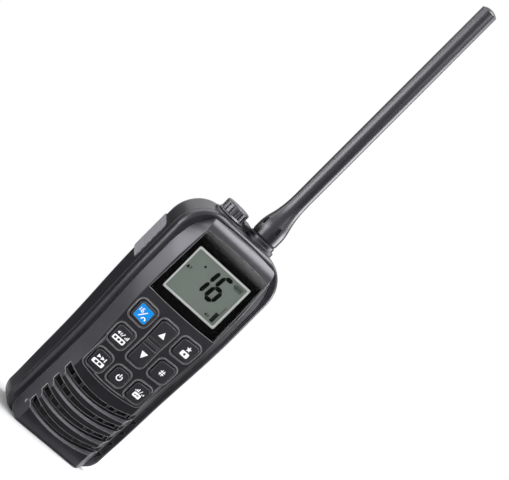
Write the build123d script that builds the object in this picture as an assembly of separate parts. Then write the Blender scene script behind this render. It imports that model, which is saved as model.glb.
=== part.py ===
from build123d import *
import functools
import math
import os

# Handheld VHF marine radio. X runs to the viewer's right, the front faces -Y and Z is up.
# The origin is on the base, under the middle of the body. Lengths are in millimetres.

# ---------------------------------------------------------------- main shell
BODY_HEIGHT = 140.7
BODY_WALL = 2.2
FOOT_HALF_WIDTH = 29.8
CHEST_HALF_WIDTH = 31.5
WAIST_LOW = 45.0
WAIST_HIGH = 100.0
FOOT_DEPTH_BACK = 18.4
CHEST_DEPTH_BACK = 20.0
SIDE_TAPER = 1.4
RIM_RADIUS = 2.2
BACK_RADIUS = 11.0
BACK_SHARE = 0.7
SHOULDER_RADIUS = 17.5
FOOT_RADIUS = 9.0
DECK_EDGE_RADIUS = 3.0
FOOT_EDGE_RADIUS = 2.5

# ---------------------------------------------------------------- front shell
APEX_Y = -19.1
APEX_Z = 103.0
FRONT_BOW_RADIUS = 860.0
PLATEAU_RISE = 6.6
FRONT_WALL = 2.0
FRONT_FOOT = 0.2
FRONT_DROP = 1.4
FRONT_TOP = BODY_HEIGHT - FRONT_DROP
FRONT_GAP = 0.35
FOREHEAD_RADIUS = 9.0
CHIN_RADIUS = 2.4
RIDGE_ROUND = 0.6
RIDGE_BAND = 1.0
SEAM_Y = -6.0
PARTING_WIDTH = 0.45
PARTING_DEPTH = 0.35
LEDGE_WIDTH = 2.5
LEDGE_THICKNESS = 2.0
# foot of the bevel, half widths against height, with the blend radius at each corner
GROOVE_POINTS = (
    (24.9, FRONT_FOOT, 6.0),
    (25.5, 56.0, 220.0),
    (27.9, 92.0, 220.0),
    (27.9, BODY_HEIGHT - 23.7, 60.0),
    (26.4, BODY_HEIGHT - 13.7, 20.0),
    (23.3, BODY_HEIGHT - 7.3, 20.0),
    (20.1, BODY_HEIGHT - 3.0, 1.5),
)
GROOVE_APEX = (0.0, BODY_HEIGHT - 1.5, 140.0)
# ridge between bevel and front face, half widths against height
RIDGE_POINTS = ((19.8, -4.0), (19.8, 48.0), (22.6, 84.0), (22.6, 110.0), (20.6, BODY_HEIGHT - 1.7))

# ---------------------------------------------------------------- display
LENS_LOW = 93.0
LENS_LOW_SAG = 0.8
LENS_HIGH = 131.5
LENS_HIGH_SAG = 0.8
LENS_HALF_LOW = 21.9
LENS_HALF_HIGH = 20.5
LENS_THICKNESS = 1.2
LENS_FIT = 0.1
MASK_THICKNESS = 0.25
MASK_GAP = 0.03
SHELF_DEPTH = 1.6
LCD_Z = 110.5
LCD_VIEW_WIDTH = 32.7
LCD_VIEW_HEIGHT = 24.1
LCD_BORDER = 1.1
LCD_FRAME_WALL = 0.7
LCD_CORNER = 0.8
LCD_FRAME_Y = -17.2
LCD_SINK = 0.3
LCD_THICKNESS = 1.2
BACKLIGHT_THICKNESS = 2.0

# ---------------------------------------------------------------- keypad
KEY_RISE = 1.25
KEY_TRAVEL = 0.5
KEY_GAP = 0.5
KEY_CORNER = 1.9
KEY_EDGE = 0.5
KEY_FLANGE = 0.7
KEY_FLANGE_THICKNESS = 0.7
KEY_FLANGE_CLEARANCE = 0.12
KEY_INWARD_LEAN = 0.6
KEY_SMILE = 0.35
KEY_LIP_OFFSET = 0.85
KEY_LIP_WIDTH = 0.55
KEY_LIP_RISE = 0.5
KEY_ROW_TOP = 81.3
KEY_ROW_MIDDLE = 65.8
KEY_ROW_BOTTOM = 50.1
KEY_COLUMN_TOP = 14.6
KEY_COLUMN_MIDDLE = 14.1
KEY_COLUMN_BOTTOM = 13.2
KEY_HEIGHT = 9.8
KEY_WIDTH_TOP = 10.6
KEY_WIDTH_MIDDLE = 9.8
KEY_WIDTH_BOTTOM = 9.0
POWER_WIDTH = 8.4
POWER_HEIGHT = 8.4
ROCKER_Z = 72.9
ROCKER_WIDTH = 9.8
ROCKER_HEIGHT = 25.8
ROCKER_WAIST = 0.7
ROCKER_NOTCH_HEIGHT = 4.6
ROCKER_BAR = 1.1
ROCKER_PIVOT_RADIUS = 1.0
ROCKER_PIVOT_Y = -15.2
ROCKER_NOTCH_DEPTH = 0.6
ROCKER_DOME_PITCH = 16.0
ROCKER_TILT = 3.0
FACE_INSET = 1.1
FACE_DEPTH = 0.6
PLUNGER_RADIUS = 1.5
PLUNGER_GAP = 0.05
DOME_RADIUS = 2.4
DOME_HEIGHT = 0.4
MAT_THICKNESS = 1.5
MAT_HOLE_RADIUS = 3.0
MAT_HALF_WIDTH = 18.6
MAT_LOW = 43.0
MAT_HIGH = 88.0
BORDER_DROP = 8.6
BORDER_WIDTH = 1.5
BORDER_RADIUS = 80.0
BORDER_HALF_WIDTH = 19.4
BORDER_SIDE_WIDTH = 0.8
BORDER_SIDE = 19.5
BORDER_CORNER = 3.5

# ---------------------------------------------------------------- grille and loudspeaker
SLOT_COUNT = 4
SLOT_LOW = 7.95
SLOT_PITCH = 7.92
SLOT_ARC_RADIUS = 55.0
SLOT_HEIGHT = 3.3
SLOT_DEPTH = 4.2
SLOT_DRAFT = 4.0
SLOT_LIP_HEIGHT = 1.5
SLOT_LIP_DEPTH = 1.2
SLOT_REACH = 30.0
SLOT_LEFT_END = -21.5
SLOT_WINDOW_HEIGHT = 2.5
SLOT_WINDOWS = ((-19.6, -14.9), (-13.5, -8.7), (-7.3, 8.9), (10.3, 13.4), (14.6, 19.6))
FACET_LOW = 1.4
FACET_HEIGHT = 3.6
FACET_TIP = 0.1
FACET_WIDTH = 2.1
SPEAKER_Z = 20.9
SPEAKER_RADIUS = 15.0
SPEAKER_PAD_Y = -9.8
SPEAKER_PAD_HALF = 20.5
SPEAKER_PAD_TOP = 41.0
MEMBRANE_THICKNESS = 0.4
MEMBRANE_LOW = 4.8
MEMBRANE_HIGH = 40.0
GASKET_THICKNESS = 0.8
GASKET_WIDTH = 2.4
BASKET_DEPTH = 4.0
BASKET_WALL = 1.0
CONE_THICKNESS = 0.5
CONE_DEPTH = 2.2
MAGNET_RADIUS = 8.5
MAGNET_DEPTH = 2.4
MIC_X = 17.0
MIC_Z = 38.0
MIC_RADIUS = 2.0
MIC_DEPTH = 2.2
MIC_BOOT_WALL = 0.9

# ---------------------------------------------------------------- boards and chassis
LOGIC_BOARD_Y = -12.0
BOARD_THICKNESS = 1.0
LOGIC_HALF_WIDTH = 19.0
LOGIC_LOW = 43.0
LOGIC_HIGH = 127.0
FLOOR_Y = 2.0
FLOOR_THICKNESS = 1.6
CHASSIS_HALF_WIDTH = 17.5
CHASSIS_LOW = 40.0
CHASSIS_HIGH = 124.0
CHASSIS_THICKNESS = 1.5
CHASSIS_STEP = 0.8
MAIN_BOARD_LOW = 42.0
MAIN_BOARD_HIGH = 122.0
BOARD_SCREW_X = 15.0
BOARD_SCREW_INSET = 4.0
BOARD_SCREW_RADIUS = 1.0
BOARD_SCREW_HEAD = 1.9
SHIELD_HALF_WIDTH = 12.0
SHIELD_LOW = 66.0
SHIELD_HIGH = 98.0
SHIELD_DEPTH = 4.5
SHIELD_WALL = 0.4
CONNECTOR_WIDTH = 18.0
CONNECTOR_HEIGHT = 4.0
CONNECTOR_Z = 54.0

# ---------------------------------------------------------------- case screws
SCREW_X = 21.2
SCREW_LOW = 10.5
SCREW_HIGH = 95.0
SCREW_RADIUS = 1.25
SCREW_LENGTH = 10.0
SCREW_HEAD_RADIUS = 2.4
SCREW_HEAD_HEIGHT = 1.7
SCREW_CLEARANCE = 0.05
SCREW_TIP_GAP = 1.0
BOSS_RADIUS = 3.1
BOSS_Y = -1.0
SEAL_INSET = 1.05
SEAL_WIDTH = 0.8
SEAL_THICKNESS = 0.6

# ---------------------------------------------------------------- top deck, antenna and jack cap
TOP_AXIS_X = 10.3
TOP_AXIS_Y = 1.0
FLANGE_RADIUS = 8.7
FLANGE_HEIGHT = 1.4
COLLAR_RADIUS = 7.6
COLLAR_RISE = 3.5
COLLAR_TOP = BODY_HEIGHT + COLLAR_RISE
BLOCK_WIDTH = 8.0
BLOCK_LENGTH = 12.0
BLOCK_HEIGHT = 3.2
BLOCK_Y = 7.0
BLOCK_EDGE = 0.7
SOCKET_BOSS = 4.5
SOCKET_RADIUS = 4.6
SOCKET_BORE = 3.2
SOCKET_LENGTH = 15.0
PLUG_CLEARANCE = 0.05
PLUG_LENGTH = 9.0
PLUG_HEAD_RADIUS = 4.1
ANTENNA_SEAL_THICKNESS = 0.45
ANTENNA_SEAL_WIDTH = 1.6
BOOT_RADIUS = 7.4
BOOT_CHAMFER = 0.4
BOOT_LENGTH = 5.0
BOOT_SHOULDER = COLLAR_TOP + BOOT_LENGTH
FLARE_LENGTH = 21.8
FLARE_BEND = 8.3
BOOT_END = BOOT_SHOULDER + FLARE_LENGTH
WHIP_RADIUS = 4.43
WHIP_LENGTH = 128.9
WHIP_TOP = BOOT_END + WHIP_LENGTH
WHIP_TIP_DOME = 1.6
CORE_RADIUS = 2.2
CORE_CLEARANCE = 0.05
CORE_LENGTH = 140.0
DIMPLE_COUNT = 5
DIMPLE_WIDTH = 2.0
DIMPLE_HEIGHT = 4.0
DIMPLE_ROUND = 0.98
DIMPLE_FLOOR = 6.35
DIMPLE_RISE = 3.1
DIMPLE_Z = BOOT_SHOULDER + DIMPLE_RISE
JACK_STUB_RADIUS = 4.8
JACK_STUB_RISE = 4.7
JACK_STUB_TOP = BODY_HEIGHT + JACK_STUB_RISE
JACK_BORE = 2.7
JACK_LENGTH = 15.0
CAP_RADIUS = 6.75
CAP_SKIRT_RADIUS = 7.5
CAP_SEAT = 1.35
CAP_SKIRT_HEIGHT = 0.85
CAP_RIB_HEIGHT = 4.0
CAP_CROWN = 1.0
CAP_BASE = BODY_HEIGHT + CAP_SEAT
CAP_SKIRT_TOP = CAP_BASE + CAP_SKIRT_HEIGHT
CAP_RIB_TOP = CAP_SKIRT_TOP + CAP_RIB_HEIGHT
CAP_TOP = CAP_RIB_TOP + CAP_CROWN
CAP_EDGE = 0.9
CAP_RIBS = 16
CAP_GROOVE_WIDTH = 1.3
CAP_GROOVE_DEPTH = 0.7
CAP_GROOVE_ROUND = 0.39
CAP_CLEARANCE = 0.08
CAP_SEAL_WIDTH = 1.1
CAP_SEAL_THICKNESS = 0.7

# ---------------------------------------------------------------- talk key
TALK_FRONT_Y = -1.4
TALK_BACK_Y = 12.6
TALK_LOW = 96.0
TALK_HIGH = 118.0
TALK_SLANT = 2.6
TALK_CORNER = 1.5
TALK_PROUD = 0.6
TALK_DEPTH = 1.4
TALK_GAP = 0.35
TALK_TRAVEL = 0.9
TALK_FLOOR = 1.3
TALK_LIP = 1.5
TALK_GROOVES = 5
TALK_GROOVE_PITCH = 3.7
TALK_GROOVE_RADIUS = 1.2
TALK_GROOVE_DEPTH = 0.35
PLUNGER_HEIGHT = 8.0
PLUNGER_DEPTH = 2.2
SWITCH_WIDTH = 4.0
SWITCH_HEIGHT = 6.0
SWITCH_DEPTH = 3.0

# ---------------------------------------------------------------- battery pack
BAY_HALF_WIDTH = 24.4
BAY_LOW = 5.0
BAY_HIGH = 101.0
BAY_CORNER = 3.0
PACK_GAP = 0.35
PACK_SPLIT_Y = 9.0
PACK_WALL = 1.3
CELL_COUNT = 2
CELL_WIDTH = 40.0
CELL_HEIGHT = 37.5
CELL_THICKNESS = 11.0
CELL_CORNER = 3.0
CELL_GAP = 0.8
CELL_LOW = 7.2
PACK_BOARD_GAP = 0.3
PAD_SPACING = 9.0
PAD_COUNT = 3
PAD_SIZE = 4.0
PAD_THICKNESS = 0.4
PAD_Z = 91.0
TERMINAL_RADIUS = 1.0
TERMINAL_HOLE = 1.6
CHARGE_SPACING = 14.0
CHARGE_COUNT = 2
CHARGE_RADIUS = 2.2
CHARGE_Z = 14.0
CHARGE_LENGTH = 1.5
CHARGE_SINK = 0.25
LATCH_WIDTH = 16.0
LATCH_HEIGHT = 9.0
LATCH_THICKNESS = 3.0
LATCH_TRAVEL = 2.0
LATCH_GAP = 0.35
LATCH_TONGUE_WIDTH = 8.0
LATCH_TONGUE_REACH = 2.2
LATCH_TONGUE_THICKNESS = 1.4
LATCH_SINK = 0.6
LATCH_RIB_COUNT = 4
LATCH_RIB_PITCH = 1.6
LATCH_RIB_HEIGHT = 0.5
LATCH_RIB_WIDTH = 10.6
LATCH_RIB_THICKNESS = 0.8

# ---------------------------------------------------------------- belt clip inserts
CLIP_SPACING = 22.0
CLIP_Z = 118.0
CLIP_BORE = 1.5
CLIP_INSERT_RADIUS = 2.5
CLIP_INSERT_LENGTH = 6.0
CLIP_BOSS_RADIUS = 4.2

REACH = 60.0
STATION_ANGLES = (0, 15, 30, 45, 60, 75, 90)
TRUNK_SPANS = 9
BEVEL_SPANS = 24
OVERCUT = 1.0
MATCH = 1e-4


# ---------------------------------------------------------------- shared geometry
def front_y(z, lift=0.0):
    """Depth of the bowed front face at a height, moved out by lift."""
    radius = FRONT_BOW_RADIUS + lift
    return APEX_Y + FRONT_BOW_RADIUS - math.sqrt(radius**2 - (z - APEX_Z) ** 2)


def ease(z, low, high, start, end):
    """Smooth change from start to end between two heights."""
    s = min(max((z - low) / (high - low), 0.0), 1.0)
    return start + (end - start) * s * s * (3 - 2 * s)


def drawn_in(distance, radius):
    """How far a rounded end has drawn in at a distance from it."""
    if distance >= radius:
        return 0.0
    return radius - math.sqrt(radius**2 - (radius - distance) ** 2)


def along(points, z):
    """Half width on a broken line of (half width, height) points."""
    for low, high in zip(points, points[1:]):
        if z <= high[1]:
            s = (z - low[1]) / (high[1] - low[1])
            return low[0] + (high[0] - low[0]) * s
    return points[-1][0]


def facing_plane(depth):
    """Upright plane at a depth, seen from the front."""
    return Plane((0, depth, 0), x_dir=(1, 0, 0), z_dir=(0, -1, 0))


def facing(face, front, back):
    """Solid between two depths whose outline is drawn in X and Z."""
    return extrude(facing_plane(back) * face, amount=back - front, dir=(0, -1, 0))


def sideways(face, low, high):
    """Solid between two X values whose outline is drawn in Y and Z."""
    return extrude(Plane.YZ.offset(low) * face, amount=high - low, dir=(1, 0, 0))


def block(x, y, z):
    """Box from three (low, high) pairs."""
    size = [high - low for low, high in (x, y, z)]
    middle = [(high + low) / 2 for low, high in (x, y, z)]
    return Pos(*middle) * Box(*size)


def round_bar(x, z, radius, front, back):
    """Cylinder along Y between two depths."""
    return Pos(x, (front + back) / 2, z) * Rot(90, 0, 0) * Cylinder(radius, back - front)


def upright(x, y, radius, low, high):
    """Cylinder along Z between two heights."""
    return Pos(x, y, (low + high) / 2) * Cylinder(radius, high - low)


def rounded(width, height, corner, x=0.0, z=0.0):
    """Rounded rectangle drawn about a centre."""
    return Pos(x, z) * RectangleRounded(width, height, corner)


def mirrored_outline(half, inset):
    """Closed outline from right-hand (half width, height, corner radius) points, then drawn in by inset."""
    right = [(x, z) for x, z, r in half if x]
    middle = [(x, z) for x, z, r in half if not x]
    left = [(-x, z) for x, z in reversed(right)]
    outline = Polygon(*right, *middle, *left, align=None)
    for x, z, r in half:
        corners = [v for v in outline.vertices() if abs(abs(v.X) - x) < MATCH and abs(v.Y - z) < MATCH]
        outline = fillet(corners, r)
    return offset(outline, amount=-inset, kind=Kind.INTERSECTION) if inset else outline


# ---------------------------------------------------------------- main shell form
def body_section(z, inset):
    """Plan of the body at a height: squarish rim in front, large round corners behind."""
    from_top = BODY_HEIGHT - z
    half = ease(z, WAIST_LOW, WAIST_HIGH, FOOT_HALF_WIDTH, CHEST_HALF_WIDTH)
    half -= drawn_in(from_top, SHOULDER_RADIUS) + drawn_in(z, FOOT_RADIUS) + inset
    edge = drawn_in(from_top, DECK_EDGE_RADIUS) + drawn_in(z, FOOT_EDGE_RADIUS) + inset
    front = front_y(z) + PLATEAU_RISE + edge
    back = ease(z, 0, WAIST_HIGH, FOOT_DEPTH_BACK, CHEST_DEPTH_BACK) - edge
    tail = half - SIDE_TAPER
    plan = Polygon((-half, front), (half, front), (tail, back), (-tail, back), align=None)
    plan = fillet(plan.vertices().sort_by(Axis.Y)[:2], RIM_RADIUS)
    corner = min(BACK_RADIUS, BACK_SHARE * tail, BACK_SHARE * (back - front))
    plan = fillet(plan.vertices().sort_by(Axis.Y)[-2:], corner)
    return Plane.XY.offset(z) * plan


@functools.cache
def body_form(inset=0.0):
    """The whole body, lofted through plans that draw in at the foot and the shoulders."""
    foot = [FOOT_RADIUS * (1 - math.cos(math.radians(a))) for a in STATION_ANGLES]
    shoulder = [BODY_HEIGHT - SHOULDER_RADIUS * (1 - math.sin(math.radians(a))) for a in STATION_ANGLES]
    step = (shoulder[0] - foot[-1]) / TRUNK_SPANS
    trunk = [foot[-1] + step * k for k in range(TRUNK_SPANS + 1)]
    spans = [loft([body_section(z, inset).face() for z in span]) for span in (foot, trunk, shoulder)]
    return spans[0] + spans[1] + spans[2]


# ---------------------------------------------------------------- front shell form
def groove_outline(inset=0.0):
    """Outline of the front shell's foot, seen from the front."""
    return mirrored_outline((*GROOVE_POINTS, GROOVE_APEX), inset)


def profile_form(inset=0.0):
    """Everything behind the bowed front face, with the rolled forehead and chin, drawn in by inset."""
    bow = FRONT_BOW_RADIUS - inset
    centre = (APEX_Y + FRONT_BOW_RADIUS, APEX_Z)
    forehead = FOREHEAD_RADIUS - inset
    chin = CHIN_RADIUS
    top, foot = FRONT_TOP - inset, FRONT_FOOT + inset

    def blend(radius, z, upward):
        """Arc that rolls the bow into a level line above or below it."""
        y = centre[0] - math.sqrt((bow - radius) ** 2 - (z - centre[1]) ** 2)
        reach = bow / (bow - radius)
        touch = (centre[0] + (y - centre[0]) * reach, centre[1] + (z - centre[1]) * reach)
        start = math.atan2(touch[1] - z, touch[0] - y) % (2 * math.pi)
        middle = (start + (0.5 if upward else 1.5) * math.pi) / 2
        end = z + radius if upward else z - radius
        return touch, (y + radius * math.cos(middle), z + radius * math.sin(middle)), (y, end)

    high_touch, high_mid, high_end = blend(forehead, top - forehead, True)
    low_touch, low_mid, low_end = blend(chin, foot + chin, False)
    face = make_face(
        [
            Edge.make_three_point_arc(low_touch, (centre[0] - bow, centre[1]), high_touch),
            Edge.make_three_point_arc(high_touch, high_mid, high_end),
            Edge.make_line(high_end, (REACH, top)),
            Edge.make_line((REACH, top), (REACH, foot)),
            Edge.make_line((REACH, foot), low_end),
            Edge.make_three_point_arc(low_end, low_mid, low_touch),
        ]
    )
    return sideways(face, -REACH, REACH)


def bevel_form(inset=0.0):
    """Wedge with the two bevelled sides, wider than the shell in front and behind."""
    groove = [(x, z) for x, z, r in GROOVE_POINTS]
    sections = []
    for k in range(BEVEL_SPANS + 1):
        z = -OVERCUT + (BODY_HEIGHT + 2 * OVERCUT) * k / BEVEL_SPANS
        foot, ridge = along(groove, max(z, FRONT_FOOT)), along(RIDGE_POINTS, z)
        slope = (foot - ridge) / PLATEAU_RISE
        face, back = front_y(z) - PLATEAU_RISE, REACH / 4
        x_face = ridge - slope * PLATEAU_RISE - inset
        x_back = foot + slope * (back - front_y(z) - PLATEAU_RISE) - inset
        sections.append(
            Plane.XY.offset(z)
            * Polygon((-x_face, face), (x_face, face), (x_back, back), (-x_back, back), align=None)
        )
    return loft([s.face() for s in sections])


@functools.cache
def front_form(inset=0.0):
    """The front shell's outer form, or its inner one with an inset."""
    return facing(groove_outline(inset), -REACH, SEAM_Y) & bevel_form(inset) & profile_form(inset)


# ---------------------------------------------------------------- keys
def key_outline(x, z, width, height, grow=0.0):
    """Key seen from the front: its outer edge leans in towards the foot and its ends follow a smile."""
    side = math.copysign(1, x) if x else 0
    half, tall = width / 2 + grow, height / 2 + grow
    smile = KEY_SMILE if side else 0.0
    outer_top, outer_low = x + side * half, x + side * (half - KEY_INWARD_LEAN)
    inner = x - side * half
    if not side:
        corners = ((-half, z - tall), (half, z - tall), (half, z + tall), (-half, z + tall))
    else:
        corners = (
            (inner, z - tall - smile),
            (outer_low, z - tall + smile),
            (outer_top, z + tall + smile),
            (inner, z + tall - smile),
        )
    outline = Polygon(*corners, align=None)
    return fillet(outline.vertices(), KEY_CORNER + grow)


def rocker_outline(grow=0.0):
    """Tall key with a slight waist."""
    half, tall = ROCKER_WIDTH / 2 + grow, ROCKER_HEIGHT / 2 + grow
    waist = half - ROCKER_WAIST
    right = [(half - KEY_INWARD_LEAN / 2, -tall), (waist, 0), (half, tall)]
    left = [(-x, z) for x, z in reversed(right)]
    outline = Pos(0, ROCKER_Z) * Polygon(*right, *left, align=None)
    ends = outline.vertices().sort_by(Axis.Y)
    return fillet(ends[:2] + ends[-2:], KEY_CORNER + grow)


KEYS = {
    "key_calling": (-KEY_COLUMN_TOP, KEY_ROW_TOP, KEY_WIDTH_TOP, KEY_HEIGHT),
    "key_volume": (-KEY_COLUMN_MIDDLE, KEY_ROW_MIDDLE, KEY_WIDTH_MIDDLE, KEY_HEIGHT),
    "key_scan": (-KEY_COLUMN_BOTTOM, KEY_ROW_BOTTOM, KEY_WIDTH_BOTTOM, KEY_HEIGHT),
    "key_favourite": (KEY_COLUMN_TOP, KEY_ROW_TOP, KEY_WIDTH_TOP, KEY_HEIGHT),
    "key_channel": (KEY_COLUMN_MIDDLE, KEY_ROW_MIDDLE, KEY_WIDTH_MIDDLE, KEY_HEIGHT),
    "key_output": (KEY_COLUMN_BOTTOM, KEY_ROW_BOTTOM, KEY_WIDTH_BOTTOM, KEY_HEIGHT),
    "key_power": (0.0, KEY_ROW_BOTTOM, POWER_WIDTH, POWER_HEIGHT),
}


def key_outlines(grow=0.0):
    """Every key's outline, the rocker's last."""
    return [key_outline(*place, grow) for place in KEYS.values()] + [rocker_outline(grow)]


def dome_places():
    """Where each key presses its snap dome."""
    single = [(x, z) for x, z, width, height in KEYS.values()]
    return single + [(0.0, ROCKER_Z + side * ROCKER_DOME_PITCH / 2) for side in (-1, 1)]


def under_face(z):
    """Depth of the front wall's inner face at a height."""
    return front_y(z) + FRONT_WALL


def key_cap(outline, wide, places, span, clearance):
    """Key with its raised face, the flange behind the wall and a plunger over each dome."""
    deepest = max(under_face(z) for z in span) + clearance
    crown = facing(outline, -REACH, deepest) & lifted_front(KEY_RISE)
    crown = fillet(crown.faces().sort_by(Axis.Y)[0].edges(), KEY_EDGE)
    cap = crown + facing(wide, deepest, deepest + KEY_FLANGE_THICKNESS)
    end = LOGIC_BOARD_Y - DOME_HEIGHT - KEY_TRAVEL - PLUNGER_GAP
    return cap + [round_bar(x, z, PLUNGER_RADIUS, deepest, end) for x, z in places]


def lifted_front(lift):
    """Everything behind the bowed face moved out by lift, without the forehead and chin."""
    radius = FRONT_BOW_RADIUS + lift
    centre = APEX_Y + FRONT_BOW_RADIUS
    low, high = -REACH, APEX_Z + REACH
    foot, head = (front_y(low, lift), low), (front_y(high, lift), high)
    face = make_face(
        [
            Edge.make_three_point_arc(foot, (centre - radius, APEX_Z), head),
            Edge.make_line(head, (REACH, high)),
            Edge.make_line((REACH, high), (REACH, low)),
            Edge.make_line((REACH, low), foot),
        ]
    )
    return sideways(face, -REACH, REACH)


def single_keys():
    """The seven keys that press straight in, with the inlay in the first."""
    pieces = {}
    for name, place in KEYS.items():
        x, z, width, height = place
        wide = key_outline(*place, KEY_FLANGE)
        span = (z - height / 2, z + height / 2)
        pieces[name] = key_cap(key_outline(*place), wide, [(x, z)], span, KEY_FLANGE_CLEARANCE)
    inlay = key_outline(*KEYS["key_calling"], -FACE_INSET)
    seat = facing(inlay, -REACH, SEAM_Y) - lifted_front(KEY_RISE - FACE_DEPTH)
    pieces["key_calling_face"] = seat & lifted_front(KEY_RISE - KEY_FLANGE_CLEARANCE / 2)
    pieces["key_calling"] -= seat
    return pieces


def rocker_clearance():
    """Room in front of the rocker's flange, so that its far end can swing forward."""
    return math.tan(math.radians(ROCKER_TILT)) * (ROCKER_HEIGHT / 2 + KEY_FLANGE) + KEY_FLANGE_CLEARANCE


def rocker():
    """Rocker key with the dip across its waist, the bar in it and the round pivot behind."""
    half = ROCKER_HEIGHT / 2
    span = (ROCKER_Z - half, ROCKER_Z + half)
    cap = key_cap(rocker_outline(), rocker_outline(KEY_FLANGE), dome_places()[-2:], span, rocker_clearance())
    dip, bar = [
        boxed(-REACH, REACH, ROCKER_Z - height / 2, ROCKER_Z + height / 2)
        for height in (ROCKER_NOTCH_HEIGHT, ROCKER_BAR)
    ]
    pivot = Rot(0, 90, 0) * Cylinder(ROCKER_PIVOT_RADIUS, ROCKER_WIDTH)
    cap -= dip - lifted_front(KEY_RISE - ROCKER_NOTCH_DEPTH) - bar
    return cap + Pos(0, ROCKER_PIVOT_Y, ROCKER_Z) * pivot


# ---------------------------------------------------------------- display stack
def lens_outline(grow=0.0):
    """Window outline with a slight smile below and a slight arch above."""
    low, high = LENS_LOW - grow, LENS_HIGH + grow
    wide, narrow = LENS_HALF_LOW + grow, LENS_HALF_HIGH + grow
    return make_face(
        [
            Edge.make_three_point_arc((-wide, low), (0, low - LENS_LOW_SAG), (wide, low)),
            Edge.make_line((wide, low), (narrow, high)),
            Edge.make_three_point_arc((narrow, high), (0, high + LENS_HIGH_SAG), (-narrow, high)),
            Edge.make_line((-narrow, high), (-wide, low)),
        ]
    )


def skin(face, outer, inner):
    """Curved sheet between two depths under the front face, measured from the face."""
    return (facing(face, -REACH, SEAM_Y) & lifted_front(-outer)) - lifted_front(-inner)


def lcd_rectangle(margin):
    """Outline about the display, wider than the viewed area by a margin on every side."""
    return rounded(LCD_VIEW_WIDTH + 2 * margin, LCD_VIEW_HEIGHT + 2 * margin, LCD_CORNER, 0.0, LCD_Z)


def display():
    """Window, printed mask, white frame, display glass and the backlight behind it."""
    window_back = LENS_FIT + LENS_THICKNESS
    glass_y = LCD_FRAME_Y + LCD_SINK
    light_y = glass_y + LCD_THICKNESS
    board_y = LOGIC_BOARD_Y
    outer = LCD_BORDER + LCD_FRAME_WALL
    frame = facing(lcd_rectangle(outer), LCD_FRAME_Y, board_y) - facing(lcd_rectangle(0), -REACH, glass_y)
    frame -= facing(lcd_rectangle(LCD_BORDER), glass_y, board_y)
    mask_front = window_back + MASK_GAP
    mask = skin(lens_outline(-LENS_FIT), mask_front, mask_front + MASK_THICKNESS)
    fit = LCD_BORDER - LENS_FIT
    return {
        "display_window": skin(lens_outline(-LENS_FIT), LENS_FIT, window_back),
        "window_mask": mask - facing(lcd_rectangle(LCD_BORDER), -REACH, SEAM_Y),
        "lcd_frame": frame,
        "lcd_panel": facing(lcd_rectangle(fit), glass_y, light_y),
        "backlight_guide": facing(lcd_rectangle(fit), light_y, light_y + BACKLIGHT_THICKNESS),
    }


# ---------------------------------------------------------------- grille
def slot_heights():
    """Height of each slot's lower edge at the middle."""
    return [SLOT_LOW + SLOT_PITCH * k for k in range(SLOT_COUNT)]


def arc_band(z, height, reach, lift=0.0):
    """Part of a ring that curves up to both sides, with its lowest point at z on the centreline."""
    centre = Pos(0, z + SLOT_ARC_RADIUS)
    ring = centre * Circle(SLOT_ARC_RADIUS - lift) - centre * Circle(SLOT_ARC_RADIUS - lift - height)
    window = Pos(0, z + REACH / 4) * Rectangle(2 * reach, REACH)
    return ring & window


def slot_channel(z):
    """Channel cut across the face, wider towards the front, shallow enough to run out on the bevels."""
    floor = front_y(z + SLOT_HEIGHT / 2) + SLOT_DEPTH
    flare = 2 * SLOT_DEPTH * math.tan(math.radians(SLOT_DRAFT))
    mouth = facing_plane(floor - 2 * SLOT_DEPTH) * arc_band(z, SLOT_HEIGHT + 2 * flare, SLOT_REACH, -flare)
    bottom = facing_plane(floor) * arc_band(z, SLOT_HEIGHT, SLOT_REACH)
    return loft([bottom.face(), mouth.face()]) & slot_room()


def slot_room():
    """Space right of the slots' left ends."""
    return block((SLOT_LEFT_END, REACH), (-REACH, SEAM_Y), (0, BODY_HEIGHT))


def slot_lip(z):
    """Sloping lip cut under the mouth of a slot."""
    face, drop = front_y(z), 2 * SLOT_LIP_HEIGHT
    mouth = facing_plane(face - SLOT_LIP_DEPTH) * arc_band(z, SLOT_HEIGHT + drop, SLOT_REACH, -drop)
    bottom = facing_plane(face + SLOT_LIP_DEPTH) * arc_band(z, SLOT_HEIGHT, SLOT_REACH)
    return loft([bottom.face(), mouth.face()]) & slot_room()


def slot_windows(z):
    """Openings through the floor of a slot, with posts left between them."""
    lift = (SLOT_HEIGHT - SLOT_WINDOW_HEIGHT) / 2
    band = facing(arc_band(z, SLOT_WINDOW_HEIGHT, SLOT_REACH, lift), -REACH, SPEAKER_PAD_Y + 1)
    return [band & block(span, (-REACH, 0), (0, REACH)) for span in SLOT_WINDOWS]


# ---------------------------------------------------------------- shells
def screw_places():
    """X and Z of the four case screws."""
    return [(x, z) for x in (-SCREW_X, SCREW_X) for z in (SCREW_LOW, SCREW_HIGH)]


def raised(outline):
    """Thin raised line on the front face, rooted in the wall."""
    return (facing(outline, -REACH, SEAM_Y) & lifted_front(KEY_LIP_RISE)) - lifted_front(-FRONT_WALL / 2)


def key_lips():
    """Raised lines round the key wells, which run into each other where the keys are close."""
    outside = Sketch() + key_outlines(KEY_LIP_OFFSET + KEY_LIP_WIDTH)
    return raised(outside - key_outlines(KEY_LIP_OFFSET))


def border_region(inset, side_inset):
    """Area inside the raised line under the keys, drawn in below and at the sides."""
    low = KEY_ROW_BOTTOM - BORDER_DROP
    half = BORDER_HALF_WIDTH - side_inset
    disc = Pos(0, low + BORDER_RADIUS) * Circle(BORDER_RADIUS - inset)
    region = disc & Pos(0, low + BORDER_SIDE / 2) * Rectangle(2 * half, BORDER_SIDE)
    return fillet(region.vertices().sort_by(Axis.Y)[:2], BORDER_CORNER - side_inset)


def keypad_border():
    """Raised line that runs down both sides of the lowest keys and in an arc under them."""
    return raised(border_region(0.0, 0.0) - border_region(BORDER_WIDTH, BORDER_SIDE_WIDTH))


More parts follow.
